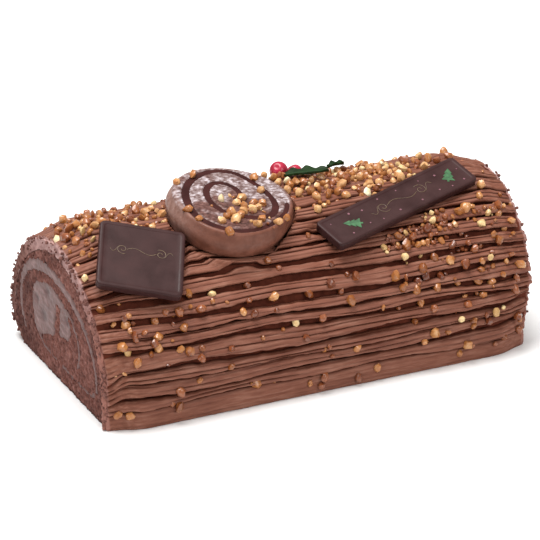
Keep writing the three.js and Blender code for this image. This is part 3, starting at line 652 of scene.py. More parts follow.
def coatPoint(share, s):  # points on the coat's crest line, the way out and the way up the coat
    share, s = np.broadcast_arrays(np.asarray(share, float), np.asarray(s, float))
    at = sectionAt(share, np.clip(s, 0, girth))
    ahead = sectionAt(share, np.clip(s + 1.2, 0, girth)) - sectionAt(share, np.clip(s - 1.2, 0, girth))
    ahead /= np.linalg.norm(ahead, axis=-1)[..., None]
    atEnd = smooth(1 - share * logLength / footLip["length"])
    lip = smooth(1 - s / footLip["height"]) * atEnd * footLip["reach"]
    point = np.stack([alongX(share, at[..., 0], at[..., 1]) - lip, at[..., 0], at[..., 1]], -1)
    none = np.zeros(ahead.shape[:-1])
    outward = np.stack([none, -ahead[..., 1], ahead[..., 0]], -1)
    upward = np.stack([none, ahead[..., 0], ahead[..., 1]], -1)
    return point, outward, upward


def gapLines():
    draw = randomStream(strokes["seed"])
    gaps = [{"at": at, "open": opened} for at, opened in strokes["gaps"]]
    s = gaps[-1]["at"][1] + strokes["backPitch"]
    while s < girth - gaps[0]["at"][1]:
        shift = (draw() - 0.5) * 1.6
        opened = 0.4 + draw() * 0.7
        middle = opened * (0.6 + draw() * 0.8)
        gaps.append({"at": (s + shift, s, s - shift), "open": (opened, middle, opened)})
        s += strokes["backPitch"]
    for gap in gaps:
        gap["phase"] = draw() * math.pi * 2
        gap["beat"] = 1.5 + draw() * 1.5
    return gaps


gaps = gapLines()


def gapAt(gap, share):
    wave = np.sin(gap["phase"] + share * math.pi * 2 * gap["beat"])
    flutter = 1 + 0.3 * np.sin(gap["phase"] * 3 + share * 17)
    return (throughThree(gap["at"], share) + strokes["wander"] * wave,
            np.maximum(0.2, throughThree(gap["open"], share) * flutter))


def hangAt(s):  # 1 on the front, -1 on the back: which way a stroke's lip hangs
    return np.clip((crestAt - s) / 30, -1, 1)


def depthAt(s, share):  # how deep the coat lies under its crest line
    profile = [(0, 0.4), (2.5, 0.2)]
    lines = [gapAt(gap, share) for gap in gaps]
    for i, (line, half) in enumerate(lines):
        hang = hangAt(line)
        lean = hang * min(strokes["overhang"], half * 0.8)
        depth = strokes["depth"] * np.clip(0.35 + half, 0.4, 1)
        beyond = lines[i + 1][0] if i + 1 < len(lines) else girth - 1
        profile += [(line - half - 0.4 - lean, depth * (0.25 + 0.2 * hang)), (line - half * 0.6, depth),
                    (line + half * 0.6, depth), (line + half + 0.4 - lean, depth * (0.25 - 0.2 * hang)),
                    (mix(line + half, beyond, 0.45), 0)]
    profile.append((girth, 0.4))
    places, depths = zip(*profile)
    return np.interp(s, places, depths)


# places of what lies on the log

roundel = {
    "radius": 26.8, "thickness": 11.6, "edge": 1.4, "footEdge": 0.6, "bulge": 1.4,
    "uneven": [(1, 0.7, 43), (2, 0.85, 98), (3, 0.8, 24)],  # waves of its rim: number, amount, direction
    "slant": -1,  # its foot lies a little to the left of its face
    "centre": (-23.5, -8, 76.2), "leanForward": 10.4, "leanSide": 6.9,
    "swirlPath": [
        (3.2, 1), (5.3, 3.2), (5.9, 6.6), (4.8, 10.6), (1.6, 14), (-2.4, 14.6), (-6, 12.3),
        (-8.6, 8.4), (-9.9, 3.6), (-9.8, -1.6), (-7.6, -7.4), (-3.8, -10.7), (1.7, -13.3), (8.1, -14.4),
        (12.6, -13.2), (16.4, -9), (18.3, -4.2), (18.6, 0.8), (17.4, 8), (14.4, 15.2), (10.4, 21.2),
        (5, 23.6), (0, 23.8), (-5.4, 22), (-10.4, 19), (-15, 14.4), (-18.6, 8), (-20.6, 0),
        (-21.2, -8), (-18.4, -14.7), (-13.9, -19.8), (-7.5, -23), (-0.6, -23.5), (5.5, -22), (12.1, -18.6),
        (18.1, -13.7), (21.7, -9.2), (24, -4.7),
    ],
    "swirlWidth": [2.6, 3.2, 3.2, 3.2, 3.4, 3.6, 3.4, 3.2, 3.2, 3.4, 3.6, 4, 3.8, 3, 2.4, 2.2],
    "collar": 0.3, "collarSlope": 2.2, "collarSoftness": 0.5, "collarReach": (12, 9),
    "rings": 56, "wall": 9, "rindWidth": 2.2, "grain": (0.22, 0.16), "groove": 0.9,
}
squarePlaque = {"length": 36.4, "width": 35.2, "thickness": 4, "corner": 2.4,
                "centre": (-73, -26.6, 66.5), "leanForward": 27.6, "leanSide": 1.8, "spin": -22.9}
barPlaque = {"length": 79.8, "width": 17.4, "thickness": 4, "corner": 2,
             "centre": (48, -22.4, 69), "leanForward": 18.8, "leanSide": -1.2, "spin": 16.9}
berries = [
    {"name": "berry_1", "centre": (9, 16, 74.7), "radius": 4.1, "lean": (0.5, -0.6)},
    {"name": "berry_2", "centre": (16.8, 16.4, 72.6), "radius": 3.4, "lean": (-0.4, -0.3)},
]


mound = {"centre": (10, 10.5), "reach": (27, 12), "height": 3.8}  # what the berries and leaves lie on


def moundAt(x, y):
    (middleX, middleY), (reachX, reachY) = mound["centre"], mound["reach"]
    far = ((x - middleX) / reachX) ** 2 + ((y - middleY) / reachY) ** 2
    return mound["height"] * np.maximum(0, 1 - far) ** 2


def frameOf(piece):
    forward, side = math.radians(piece["leanForward"]), math.radians(piece["leanSide"])
    up = Vector((math.sin(side), -math.sin(forward), math.cos(forward))).normalized()
    across = (Vector((1, 0, 0)) - up * up.x).normalized()
    across.rotate(Matrix.Rotation(math.radians(piece.get("spin", 0)), 3, up))
    along = up.cross(across)
    return np.array([across, along, up]).T, np.array(piece["centre"], float)


def toWorld(placed, points):
    turn, centre = placed
    return np.asarray(points, float) @ turn.T + centre


def toLocal(placed, points):
    turn, centre = placed
    return (np.asarray(points, float) - centre) @ turn


roundelFrame, squareFrame, barFrame = frameOf(roundel), frameOf(squarePlaque), frameOf(barPlaque)
plaques = ((squareFrame, squarePlaque), (barFrame, barPlaque))


def rimWave(x, y):  # how far the slice's rim departs from a circle
    around = np.arctan2(y, x)
    return sum(most * np.cos(waves * around - math.radians(way)) for waves, most, way in roundel["uneven"])


def slanted(points):
    leaning = points.copy()
    leaning[:, 0] -= roundel["slant"] * points[:, 2] / roundel["thickness"]
    return leaning


def settle(points, crest):  # the icing gives way under the plaques and swells up round the slice
    moved = points.copy()
    local = toLocal(roundelFrame, crest)
    away = np.hypot(local[:, 0] - roundel["slant"], local[:, 1]) - rimWave(local[:, 0], local[:, 1])
    waist = roundel["radius"] + roundel["bulge"] + 0.6
    collar = roundel["collar"] * smooth((away - waist) / 0.8)
    seat = collar - roundel["thickness"] - 0.4 - np.maximum(0, away - waist - 0.8) * roundel["collarSlope"]
    change = seat - local[:, 2]
    risen = (change + np.hypot(change, roundel["collarSoftness"])) / 2
    reach, fade = roundel["collarReach"]
    lifted = np.where(away > waist, risen, change) * smooth((waist + reach - away) / fade)
    lifted *= np.abs(local[:, 2]) < 40
    moved += lifted[:, None] * roundelFrame[0][:, 2]
    for placed, plaque in plaques:
        local = toLocal(placed, crest)
        across, along = (np.abs(local[:, k]) - plaque[side] / 2 for k, side in enumerate(("length", "width")))
        pressed = np.minimum(0, -plaque["thickness"] - 0.5 - local[:, 2])
        pressed *= smooth((3 - np.maximum(across, along)) / 2.6) * (np.abs(local[:, 2]) < 30)
        moved += pressed[:, None] * placed[0][:, 2]
    moved[:, 2] = np.maximum(moved[:, 2], 0)
    return moved


def heaped(points, crest):  # the icing swells up under the heap
    raised = points.copy()
    raised[:, 2] += moundAt(crest[:, 0], crest[:, 1]) * smooth(points[:, 2] / 10 - 5)
    return raised


# combed strokes: a rail for each stroke, swept by geometry nodes

def cornerBend(s, x):  # near the left foot the strokes turn down towards the corner
    (fromX, overX), (fromS, overS) = strokes["cornerReach"], strokes["cornerHeight"]
    near = smooth((fromX - x) / overX) ** 2 * (1 - smooth((s - fromS) / overS))
    return s * (1 - strokes["cornerBend"] * near)


def railPlaces():  # shares along a stroke, closer together at its ends, and how far it has rounded off there
    nose = strokes["nose"]
    even = np.linspace(nose[-1], logLength - nose[-1], strokes["steps"] + 3 - 2 * len(nose))
    places = np.concatenate([nose[:-1], even, [logLength - at for at in nose[-2::-1]]])
    ends = [np.sqrt(1 - np.clip(1 - at / nose[-1], 0, 1) ** 2) for at in (places, logLength - places)]
    drop = sum(fall * (1 - end) for fall, end in zip(strokes["noseDrop"], ends))
    return places / logLength, drop


def strokeRails(name, wanted):
    draw = randomStream(strokes["seed"] + 5)
    ends = [(mix(-0.9, -0.2, draw()), (draw() - 0.6) * 2 * strokes["ragged"]) for _ in range(len(gaps) + 1)]
    steps, drop = railPlaces()
    edges = []
    values = {key: [] for key in ("centre", "outward", "upward", "place", "shape")}
    for k in wanted:
        first, last = -ends[k][0] / logLength, 1 + ends[k][1] / logLength
        share = mix(first, last, steps)
        inside = np.clip(share, 0, 1)
        low, lowOpen = gapAt(gaps[k - 1], inside) if k else (0 * share, 0 * share)
        high, highOpen = gapAt(gaps[k], inside) if k < len(gaps) else (0 * share + girth, 0 * share)
        x = (share - 0.5) * logLength
        wide = smooth((strokes["openBelow"] - low) / strokes["openFade"])
        opened = mix(*strokes["openness"], wide * mix(0.5, 1, smooth(x / strokes["openRight"])))
        low, high = low + lowOpen * opened, high - highOpen * opened
        low, high = cornerBend(low, x), cornerBend(high, x)
        middle = (low + high) / 2
        centre, outward, upward = coatPoint(inside, middle)
        centre[:, 0] += (share - inside) * logLength
        centre -= outward * drop[:, None]
        start = len(values["centre"])
        edges += [(start + i, start + i + 1) for i in range(strokes["steps"])]
        comb = x * 0 + (1 if k else strokes["lowestComb"])
        half = (high - low) / 2 - drop * strokes["noseNarrowing"]
        place = np.stack([x, middle, x * 0 + k * 3.7], 1)  # the last number sets each stroke's own pattern
        rows = (centre, outward, upward, place, np.stack([half, hangAt(middle), comb], 1))
        for key, row in zip(values, rows):
            values[key] += list(row)
    mesh = meshFrom(name, values["centre"], edges)
    for key, rows in values.items():
        scale = mm if key in ("centre", "place") else 1
        made = mesh.attributes.new(key, "FLOAT_VECTOR", "POINT")
        made.data.foreach_set("vector", (np.array(rows, np.float32) * scale).ravel())
    return addObject(name, mesh)


def lobeProfile():  # the closed section of one stroke: x from edge to edge, y from crest 0 to root -1
    top = [(px, -0.11 * abs(px) ** 3.5, 0) for px in np.linspace(-0.82, 0.82, 31)]
    side = ((0.9, -0.1), (0.96, -0.17), (0.995, -0.27), (1.0, -0.38), (0.98, -0.6), (0.97, -1))
    right, left = [(px, py, 0) for px, py in side], [(-px, py, 0) for px, py in reversed(side)]
    outline = np.array(top + right + left)
    count = len(outline)
    mesh = meshFrom("lobe profile", outline, [(i, (i + 1) % count) for i in range(count)])
    made = mesh.attributes.new("lobe", "FLOAT_VECTOR", "POINT")
    made.data.foreach_set("vector", outline.astype(np.float32).ravel())
    return bpy.data.objects.new("lobe profile", mesh)


def newNodeGroup(name, inputs):
    tree = bpy.data.node_groups.new(name, "GeometryNodeTree")
    tree.interface.new_socket("Geometry", in_out="INPUT", socket_type="NodeSocketGeometry")
    for label, kind in inputs.items():
        tree.interface.new_socket(label, in_out="INPUT", socket_type="NodeSocket" + kind)
    tree.interface.new_socket("Geometry", in_out="OUTPUT", socket_type="NodeSocketGeometry")
    return tree, addNode(tree, "NodeGroupInput").outputs


def namedValue(tree, name, kind="FLOAT_VECTOR"):
    made = addNode(tree, "GeometryNodeInputNamedAttribute", {"Name": name}, data_type=kind)
    return next(s for s in made.outputs if s.enabled and s.name == "Attribute")


def storeValue(tree, geometry, name, value, kind):
    made = addNode(tree, "GeometryNodeStoreNamedAttribute", data_type=kind, domain="POINT")
    made.inputs["Name"].default_value = name
    tree.links.new(geometry, made.inputs["Geometry"])
    tree.links.new(value, next(s for s in made.inputs if s.enabled and s.name == "Value"))
    return made.outputs["Geometry"]


def geometryFrom(tree, kind, inputs, **settings):
    made = addNode(tree, "GeometryNode" + kind, inputs, **settings)
    return next(s for s in made.outputs if s.type == "GEOMETRY" and s.enabled)


def closeGroup(tree, geometry, material):
    real = geometryFrom(tree, "RealizeInstances", {"Geometry": geometry})
    done = geometryFrom(tree, "SetMaterial", {"Geometry": real, "Material": material})
    addNode(tree, "NodeGroupOutput", {"Geometry": done})


def strokeGroup():
    tree, given = newNodeGroup("combed strokes", {
        "Profile": "Object", "Ridge pitch": "Float", "Ridge depth": "Float", "Ridge drift": "Float",
        "Root": "Float", "Lean": "Float", "Lumps": "Float", "Lip ripple": "Float", "Tilt": "Float",
        "Material": "Material"})
    maths, vectors = mathsIn(tree), vectorsIn(tree)
    rail = geometryFrom(tree, "MeshToCurve", {"Mesh": given["Geometry"]})
    loop = geometryFrom(tree, "ObjectInfo", {"Object": given["Profile"]})
    loop = geometryFrom(tree, "MeshToCurve", {"Mesh": loop})
    swept = geometryFrom(tree, "CurveToMesh", {"Curve": rail, "Profile Curve": loop, "Fill Caps": True})
    centre, outward, upward = (namedValue(tree, key) for key in ("centre", "outward", "upward"))
    along, middle, seed = partsOf(tree, namedValue(tree, "place"))
    half, hang, comb = partsOf(tree, namedValue(tree, "shape"))
    px, py, _ = partsOf(tree, namedValue(tree, "lobe"))
    across = maths("MULTIPLY", maths("MULTIPLY", px, half), mm)
    upCoat = maths("ADD", middle, across)
    place = addNode(tree, "ShaderNodeCombineXYZ", {0: along, 1: upCoat, 2: seed}).outputs[0]

    def lumps(scaleX, scaleS):  # noise about zero, of this size in mm along and up the coat
        spread = vectors("MULTIPLY", place, (1000 / scaleX, 1000 / scaleS, 1000.0))
        made = addNode(tree, "ShaderNodeTexNoise", {"Vector": spread, "Scale": 1.0, "Detail": 2.0})
        return maths("SUBTRACT", made.outputs["Fac"], 0.5)

    top = stepIn(tree, py, -0.2, -0.08)
    drifting = maths("MULTIPLY_ADD", lumps(*combNoise["drift"]), given["Ridge drift"], across)
    turns = maths("MULTIPLY", maths("DIVIDE", drifting, given["Ridge pitch"]), math.pi)
    phase = maths("MULTIPLY_ADD", seed, 900.0, turns)
    nearLine = maths("SUBTRACT", 1.0, maths("ABSOLUTE", maths("SINE", phase)))
    valley = maths("POWER", nearLine, combNoise["sharpness"])
    fade = stepIn(tree, lumps(*combNoise["fade"]), *combNoise["fadeFrom"], combNoise["fadeTo"])
    groove = maths("MULTIPLY", maths("MULTIPLY", valley, fade), maths("MULTIPLY", top, comb))
    height = maths("MULTIPLY", py, given["Root"])
    height = maths("SUBTRACT", height, maths("MULTIPLY", groove, given["Ridge depth"]))
    for scaleX, scaleS, share in combNoise["swells"]:
        swelling = maths("MULTIPLY", lumps(scaleX, scaleS), given["Lumps"])
        height = maths("MULTIPLY_ADD", swelling, share, height)
    height = maths("SUBTRACT", height, maths("MULTIPLY", maths("MULTIPLY", px, hang), given["Tilt"]))
    edge = maths("MULTIPLY", stepIn(tree, maths("ABSOLUTE", px), 0.55, 0.95), maths("SIGN", px))
    flutter, ripple = lumps(*combNoise["flutter"]), lumps(*combNoise["ripple"])
    wavy = maths("MULTIPLY_ADD", flutter, combNoise["flutterShare"], ripple)
    wavy = maths("MULTIPLY", wavy, given["Lip ripple"])
    sideways = maths("MULTIPLY_ADD", edge, wavy, across)
    lean = maths("MULTIPLY", maths("MULTIPLY", hang, given["Lean"]), stepIn(tree, py, -0.6, -0.1))
    sideways = maths("SUBTRACT", sideways, lean)
    crest = vectors("ADD", centre, vectors("SCALE", upward, sideways))
    moved = vectors("ADD", crest, vectors("SCALE", outward, height))
    shaped = geometryFrom(tree, "SetPosition", {"Geometry": swept, "Position": moved})
    shaped = storeValue(tree, shaped, "crest", crest, "FLOAT_VECTOR")
    # painted shade: darker in the comb's grooves and down each stroke's sides, read by the material
    deep = stepIn(tree, py, -0.1, -0.45)
    hollowShade = maths("MINIMUM", maths("MULTIPLY_ADD", groove, 0.75, deep), 1.0)
    shaped = storeValue(tree, shaped, "hollowShade", hollowShade, "FLOAT")
    closeGroup(tree, geometryFrom(tree, "SetShadeSmooth", {"Geometry": shaped}), given["Material"])
    return tree


def growNodes(piece, tree, settings):
    modifier = piece.modifiers.new("growth", "NODES")
    modifier.node_group = tree
    for item in tree.interface.items_tree:
        if item.in_out == "INPUT" and item.name in settings:
            modifier[item.identifier] = settings[item.name]
    depsgraph = bpy.context.evaluated_depsgraph_get()
    mesh = bpy.data.meshes.new_from_object(piece.evaluated_get(depsgraph), depsgraph=depsgraph)
    piece.modifiers.clear()
    piece.data = mesh
    return piece


def readVectors(data, key):
    flat = np.zeros(len(data) * 3, np.float32)
    data.foreach_get(key, flat)
    return flat.reshape(-1, 3)


def meshPoints(mesh):
    return readVectors(mesh.vertices, "co").astype(float)


def meshVolume(mesh):
    mesh.calc_loop_triangles()
    corners = np.zeros(len(mesh.loop_triangles) * 3, np.int32)
    mesh.loop_triangles.foreach_get("vertices", corners)
    a, b, c = meshPoints(mesh)[corners.reshape(-1, 3)].transpose(1, 0, 2)
    return np.einsum("ij,ij->i", a, np.cross(b, c)).sum()


strokeGroups = {
    "strokes_low": (0, 8), "strokes_front": (8, 15), "strokes_crest": (15, 22), "strokes_back": (22, None),
}


def makeStrokes(material):
    tree = strokeGroup()
    lengths = {
        "Ridge pitch": "ridgePitch", "Ridge depth": "ridgeDepth", "Ridge drift": "ridgeDrift",
        "Root": "root", "Lean": "overhang", "Lumps": "lumps", "Lip ripple": "lipRipple", "Tilt": "tilt",
    }
    settings = {label: strokes[key] * mm for label, key in lengths.items()}
    settings.update({"Profile": lobeProfile(), "Material": material})
    for name, (first, last) in strokeGroups.items():
        piece = growNodes(strokeRails(name, range(first, last or len(gaps) + 1)), tree, settings)
        mesh = piece.data
        crest = readVectors(mesh.attributes["crest"].data, "vector") / mm
        moved = heaped(settle(meshPoints(mesh) / mm, crest), crest)
        mesh.vertices.foreach_set("co", (moved * mm).astype(np.float32).ravel())
        for key in ("crest", "centre", "outward", "upward", "place", "shape", "lobe"):
            if key in mesh.attributes:
                mesh.attributes.remove(mesh.attributes[key])
        if meshVolume(mesh) < 0:
            mesh.flip_normals()
        mesh.update()
        finishPiece(piece, "buttercream", "icing", sharp=70)


def rollOutline():
    outline = []
    steps = 44
    run = runOf(bareArch)
    for i in range(steps + 1):
        target = run[-1] * i / steps
        k = min(max(int(np.searchsorted(run, target)), 1), len(run) - 1)
        a, b = bareArch[k - 1], bareArch[k]
        y, z = mix(a, b, (target - run[k - 1]) / (run[k] - run[k - 1]))
        ty, tz = (b - a) / (run[k] - run[k - 1])
        side = coatThickness["front"] if y < 0 else coatThickness["back"]
        coat = mix(side, coatThickness["top"], min(max(ty, 0), 1))
        outline.append((y + tz * coat, 0 if i in (0, steps) else max(0, z - ty * coat)))
    return np.array(outline)


roll = rollOutline()


def makeBaseCoat(material):  # the icing under the strokes, seen in the gaps and at the cuts
    rollRun = runOf(roll)
    crests = []

    def place(u, v, w):
        s = u * girth
        crest, outward, _ = coatPoint(w, s)
        fromEnd = min(w, 1 - w) * logLength
        inward = float(smooth((fromEnd - 1.5) / baseCoat["endReach"]))
        depth = mix(baseCoat["endDepth"], baseCoat["depth"], inward)
        if v == 1:
            depth += lump(crest[0] / 6, s / 2.5, 3) * baseCoat["uneven"]
            ragged = lump(s / 2.6, crest[0] / 3, 8) + 0.6 * lump(s / 1.1, crest[0] / 2, 3)
            depth += baseCoat["ragged"] * ragged * (1 - float(smooth(fromEnd / baseCoat["raggedReach"])))
        outer = crest - outward * depth
        inner = np.array([np.interp(u * rollRun[-1], rollRun, roll[:, k]) for k in (0, 1)]) * baseCoat["inset"]
        inner = np.array([alongX(w, *inner), *inner])
        point = mix(inner, outer, v)
        if w in (0, 1):
            rough = lump(s / 2.2, v * 3, w * 9) * 0.6 + lump(s / 0.9, v * 7, 5) * 0.4
            point[0] += rough * (0.6 if v == 1 else 1)
        crests.append(crest if v > 0.5 else point)
        return point

    points, faces, shares = blockSurface(baseCoat["cells"], place)
    crests = np.array(crests)
    lifted = settle(points, crests) - points
    points = heaped(points + lifted * smooth(shares[:, 1] * 1.6)[:, None], crests)
    points[:, 2] = np.maximum(points[:, 2], 0)
    points, faces = outwards(points, faces)
    finishPiece(meshPiece("icing_base", points, faces, material), "buttercream", "icing", sharp=50)


# roll and filling

filling = {
    "path": [
        (43, 10), (46, 20), (43.5, 32), (35, 42), (23, 47.6), (11, 49.6), (-2, 48.6), (-15, 44.8),
        (-26, 38), (-33, 29.5), (-36.5, 20), (-34.5, 11.5), (-26, 8.2), (-8, 8.2), (10, 8.8), (22, 10.5),
        (29, 16),
    ],
    "thickness": [2.4, 3.2, 3.4, 3.8, 4, 4, 3.6, 3.2, 3, 2.8, 2.4, 1.8, 1.2, 1.2, 1.2, 1.6, 3],
    "core": [
        (29, 13.5), (32, 24), (30, 35), (20, 40.5), (8, 42), (-5, 39.5), (-10, 33),
        (-8.5, 25.5), (4, 21.5), (17, 17),
    ],
    "tail": [(-6, 38), (-13, 35.5), (-17.5, 29), (-18.5, 21), (-15.5, 15)],
    "tailThickness": [2.2, 1.4],
    "tongue": [(2.5, 35), (4.5, 26.5), (7, 16)], "tongueThickness": [3.5, 5.4, 2.4],
    "topSpread": 0.6,  # the cream is smeared wider over the top
    "dents": [((20, 25), 3.4), ((-7, 33), 2.2), ((14, 38.5), 3.2), ((27, 30), 2.2)],  # place and reach
    "dentDepth": 0.8, "soakDepth": 2.1, "soakMost": 0.9,
}
cutFace = {"spacing": 0.55, "poreDepth": 1.0, "poreReach": 0.3, "crumbHeight": 0.6, "creamDepth": 1.6}


def smoothCurve(points, closed, steps):
    curve = []
    count = len(points)
    spans = count if closed else count - 1
    points = np.array(points, float)
    for i in range(steps + (0 if closed else 1)):
        place = min(i / steps * spans, spans - 1e-9)
        k, t = int(place), place - int(place)

        def at(j):
            if closed:
                return points[j % count]
            if j < 0:
                return points[0] * 2 - points[1]
            return points[j] if j < count else points[-1] * 2 - points[-2]

        a, b, c, d = (at(k + j) for j in (-1, 0, 1, 2))
        bend, twist = 2 * a - 5 * b + 4 * c - d, 3 * b - a - 3 * c + d
        curve.append(0.5 * (2 * b + (c - a) * t + bend * t ** 2 + twist * t ** 3))
    return np.array(curve)


def distanceToLine(points, line, halfWidths):  # below zero inside a strip of changing width
    best = np.full(len(points), 1e9)
    for a, b, wa, wb in zip(line, line[1:], halfWidths, halfWidths[1:]):
        span = b - a
        t = np.clip(((points - a) @ span) / (span @ span), 0, 1)
        away = np.linalg.norm(points - a - t[:, None] * span, axis=1) - mix(wa, wb, t)
        best = np.minimum(best, away)
    return best


def distanceToOutline(points, outline):  # below zero inside a closed outline
    closed = np.concatenate([outline, outline[:1]])
    away = distanceToLine(points, closed, np.zeros(len(closed)))
    inside = np.zeros(len(points), bool)
    for a, b in zip(closed, closed[1:]):
        if a[1] == b[1]:
            continue
        crosses = (a[1] > points[:, 1]) != (b[1] > points[:, 1])
        inside ^= crosses & (points[:, 0] < (b[0] - a[0]) * (points[:, 1] - a[1]) / (b[1] - a[1]) + a[0])
    return np.where(inside, -away, away)


def spreadOver(widths, count):  # the widths taken evenly along a line of this many points
    return np.interp(np.linspace(0, 1, count), np.linspace(0, 1, len(widths)), widths)


def stripDistance(points, path, widths, steps):
    line = smoothCurve(path, False, steps)
    return distanceToLine(points, line, spreadOver(widths, len(line)) / 2)


def wobble(points, reach, size):
    return np.array([lump(y / size, z / size, 6) for y, z in points]) * reach


def creamDistance(points):
    layer = stripDistance(points, filling["path"], filling["thickness"], 70)
    tail = stripDistance(points, filling["tail"], filling["tailThickness"], 20)
    core = distanceToOutline(points, smoothCurve(filling["core"], True, 60))
    tongue = stripDistance(points, filling["tongue"], filling["tongueThickness"], 10)
    whole = np.maximum(np.minimum(np.minimum(layer, tail), core), -tongue)
    whole -= filling["topSpread"] * smooth((points[:, 1] - 34) / 10)
    return whole + wobble(points, 0.9, 2.6) + wobble(points, 0.5, 1.1)


def spongeDistance(points):
    return distanceToOutline(points, roll)


def slabThrough(name, distance, relief, material):  # a solid run from cut to cut, fine at both cut faces
    step = cutFace["spacing"]
    ys, zs = np.arange(-60, 64, step), np.arange(0, 70, step)
    grid = np.stack(np.meshgrid(ys, zs, indexing="ij"), -1)
    away = distance(grid.reshape(-1, 2)).reshape(grid.shape[:2])
    slopeY, slopeZ = np.gradient(away, step)
    near = away < step * 0.4
    kept = near[:-1, :-1] & near[1:, :-1] & near[:-1, 1:] & near[1:, 1:]
    padded = np.pad(kept, 1)
    full = padded[:-1, :-1] & padded[1:, :-1] & padded[:-1, 1:] & padded[1:, 1:]
    used = padded[:-1, :-1] | padded[1:, :-1] | padded[:-1, 1:] | padded[1:, 1:]
    rim = used & ~full
    shift = np.clip(away, -step, step) * rim
    steep = np.maximum(slopeY ** 2 + slopeZ ** 2, 0.25)
    flat = grid.copy()
    flat[..., 0] -= shift * slopeY / steep
    flat[..., 1] = np.maximum(0, flat[..., 1] - shift * slopeZ / steep)
    number = -np.ones(used.shape, int)
    number[used] = np.arange(used.sum())
    section = flat[used]
    count = len(section)
    calm = rim[used]
    points, hollowShades = [], []
    for side, lean in ((-1, leftCut), (1, rightCut)):
        x = cutX(side, lean, section[:, 0], section[:, 1])
        raised, hollowShade = relief(section, side)
        raised = np.where(calm, np.minimum(raised, 0.05), raised)
        points.append(np.stack([x + side * raised, section[:, 0], section[:, 1]], 1))
        hollowShades.append(hollowShade)
    faces = []
    for i, j in zip(*np.nonzero(kept)):
        ring = [number[i, j], number[i + 1, j], number[i + 1, j + 1], number[i, j + 1]]
        faces.append(tuple(k + count for k in ring))
        faces.append(tuple(reversed(ring)))
        for (a, b), (di, dj) in zip(zip(ring, ring[1:] + ring[:1]), ((0, -1), (1, 0), (0, 1), (-1, 0))):
            if not padded[i + 1 + di, j + 1 + dj]:
                faces.append((b + count, a + count, a, b))
    points = np.concatenate(points)
    piece = meshPiece(name, points, faces, material)
    # painted shade from the relief, read by the materials
    paint(piece, "hollowShade", np.concatenate(hollowShades))
    return piece, points


def soakAndShadeAt(points):  # how dark the cream is painted: painted shade low down, darker at both sides, and coloured by the sponge at its edges
    y, z = points[:, 1], points[:, 2]
    sides = smooth((y - 28) / 8) * 0.55 + smooth((-y - 26) / 8) * 0.4
    soakAndShade = np.clip(smooth((17 - z) / 9) * 0.85 + sides, 0, 1)
    blurred = filling["soakMost"] * (1 - smooth(-creamDistance(points[:, 1:]) / filling["soakDepth"]))
    return np.maximum(soakAndShade, blurred)


def crumbRelief(section, side):
    raised, hollowShade = np.zeros(len(section)), np.zeros(len(section))
    for i, (y, z) in enumerate(section):
        at = Vector((y, z, side * 40))
        coarse = noise.noise(at * 0.42)
        pore = noise.voronoi(at * 0.5)[0][0]
        pit = max(0, cutFace["poreReach"] - pore) / cutFace["poreReach"]
        crumb = cutFace["crumbHeight"] * (coarse + 0.6 * noise.noise(at * 1.25))
        raised[i] = crumb - cutFace["poreDepth"] * pit - 0.15
        # painted shade in the pores and where the crumb lies low
        hollowShade[i] = min(1, pit * 0.9 + max(0, -coarse) * 0.5)
    raised = np.where(creamDistance(section) < -0.3, -cutFace["creamDepth"], raised)
    # painted shade along the sponge's rim and over the back of the face
    rim = smooth((spongeDistance(section) + 1.0) / 0.8)
    backShade = 0.4 * smooth((section[:, 0] - 24) / 8) * smooth((44 - section[:, 1]) / 8)
    return raised, np.clip(np.maximum(hollowShade + backShade, rim * 0.9), 0, 1)


def creamRelief(section, side):
    edge = smooth(-creamDistance(section) / 0.9)
    raised, hollowShade = np.zeros(len(section)), np.zeros(len(section))
    for i, (y, z) in enumerate(section):
        drag = lump(y * 0.22 + z * 0.1, z * 0.5, side * 7)
        dent = max(math.exp(-math.dist((y, z), spot) ** 2 / reach ** 2) for spot, reach in filling["dents"])
        smear = 0.25 * drag + 0.14 * lump(y * 0.9, z * 0.9, side * 22.5)
        raised[i] = smear - 0.05 - filling["dentDepth"] * dent
        # painted shade in the dents, and darker streaks where the knife's drag stands up
        hollowShade[i] = min(1, dent * 0.9 + 0.25 * max(0, drag))
    return raised * edge - 0.25 * (1 - edge), hollowShade


# the slice, its spiral, the plaques, berries and leaves

def turned(radius, z, count=180, wobble=0.0, seed=0.0):
    ring = []
    for i in range(count):
        turn = math.tau * i / count
        way = Vector((math.cos(turn), math.sin(turn), 0))
        reach = radius + wobble * noise.noise(way * 2.2 + Vector((0, 0, z * 0.12 + seed)))
        ring.append(np.array([way.x * reach, way.y * reach, z]))
    return ring


def sliceRows():  # rings from the middle of the underside, over the wall, to the middle of the face
    radius, thick, edge, foot = (roundel[key] for key in ("radius", "thickness", "edge", "footEdge"))
    rows = [turned(r, -thick) for r in (6, 16, radius - foot)]
    for turn in (30, 60, 90):
        a = math.radians(turn)
        drop = -thick + foot - foot * math.cos(a)
        rows.append(turned(radius - foot + foot * math.sin(a), drop, wobble=0.2))
    for share in np.linspace(0.08, 0.92, roundel["wall"]):
        waist = radius - 0.2 + roundel["bulge"] * math.sin(math.pi * share)
        rows.append(turned(waist, mix(-thick + foot, -edge, share), wobble=0.5))
    for turn in (0, 30, 60, 90):
        a = math.radians(turn)
        rows.append(turned(radius - edge + edge * math.cos(a), -edge + edge * math.sin(a), wobble=0.3))
    rows += [turned((radius - edge) * (1 - k / roundel["rings"]), 0) for k in range(1, roundel["rings"])]
    return rows


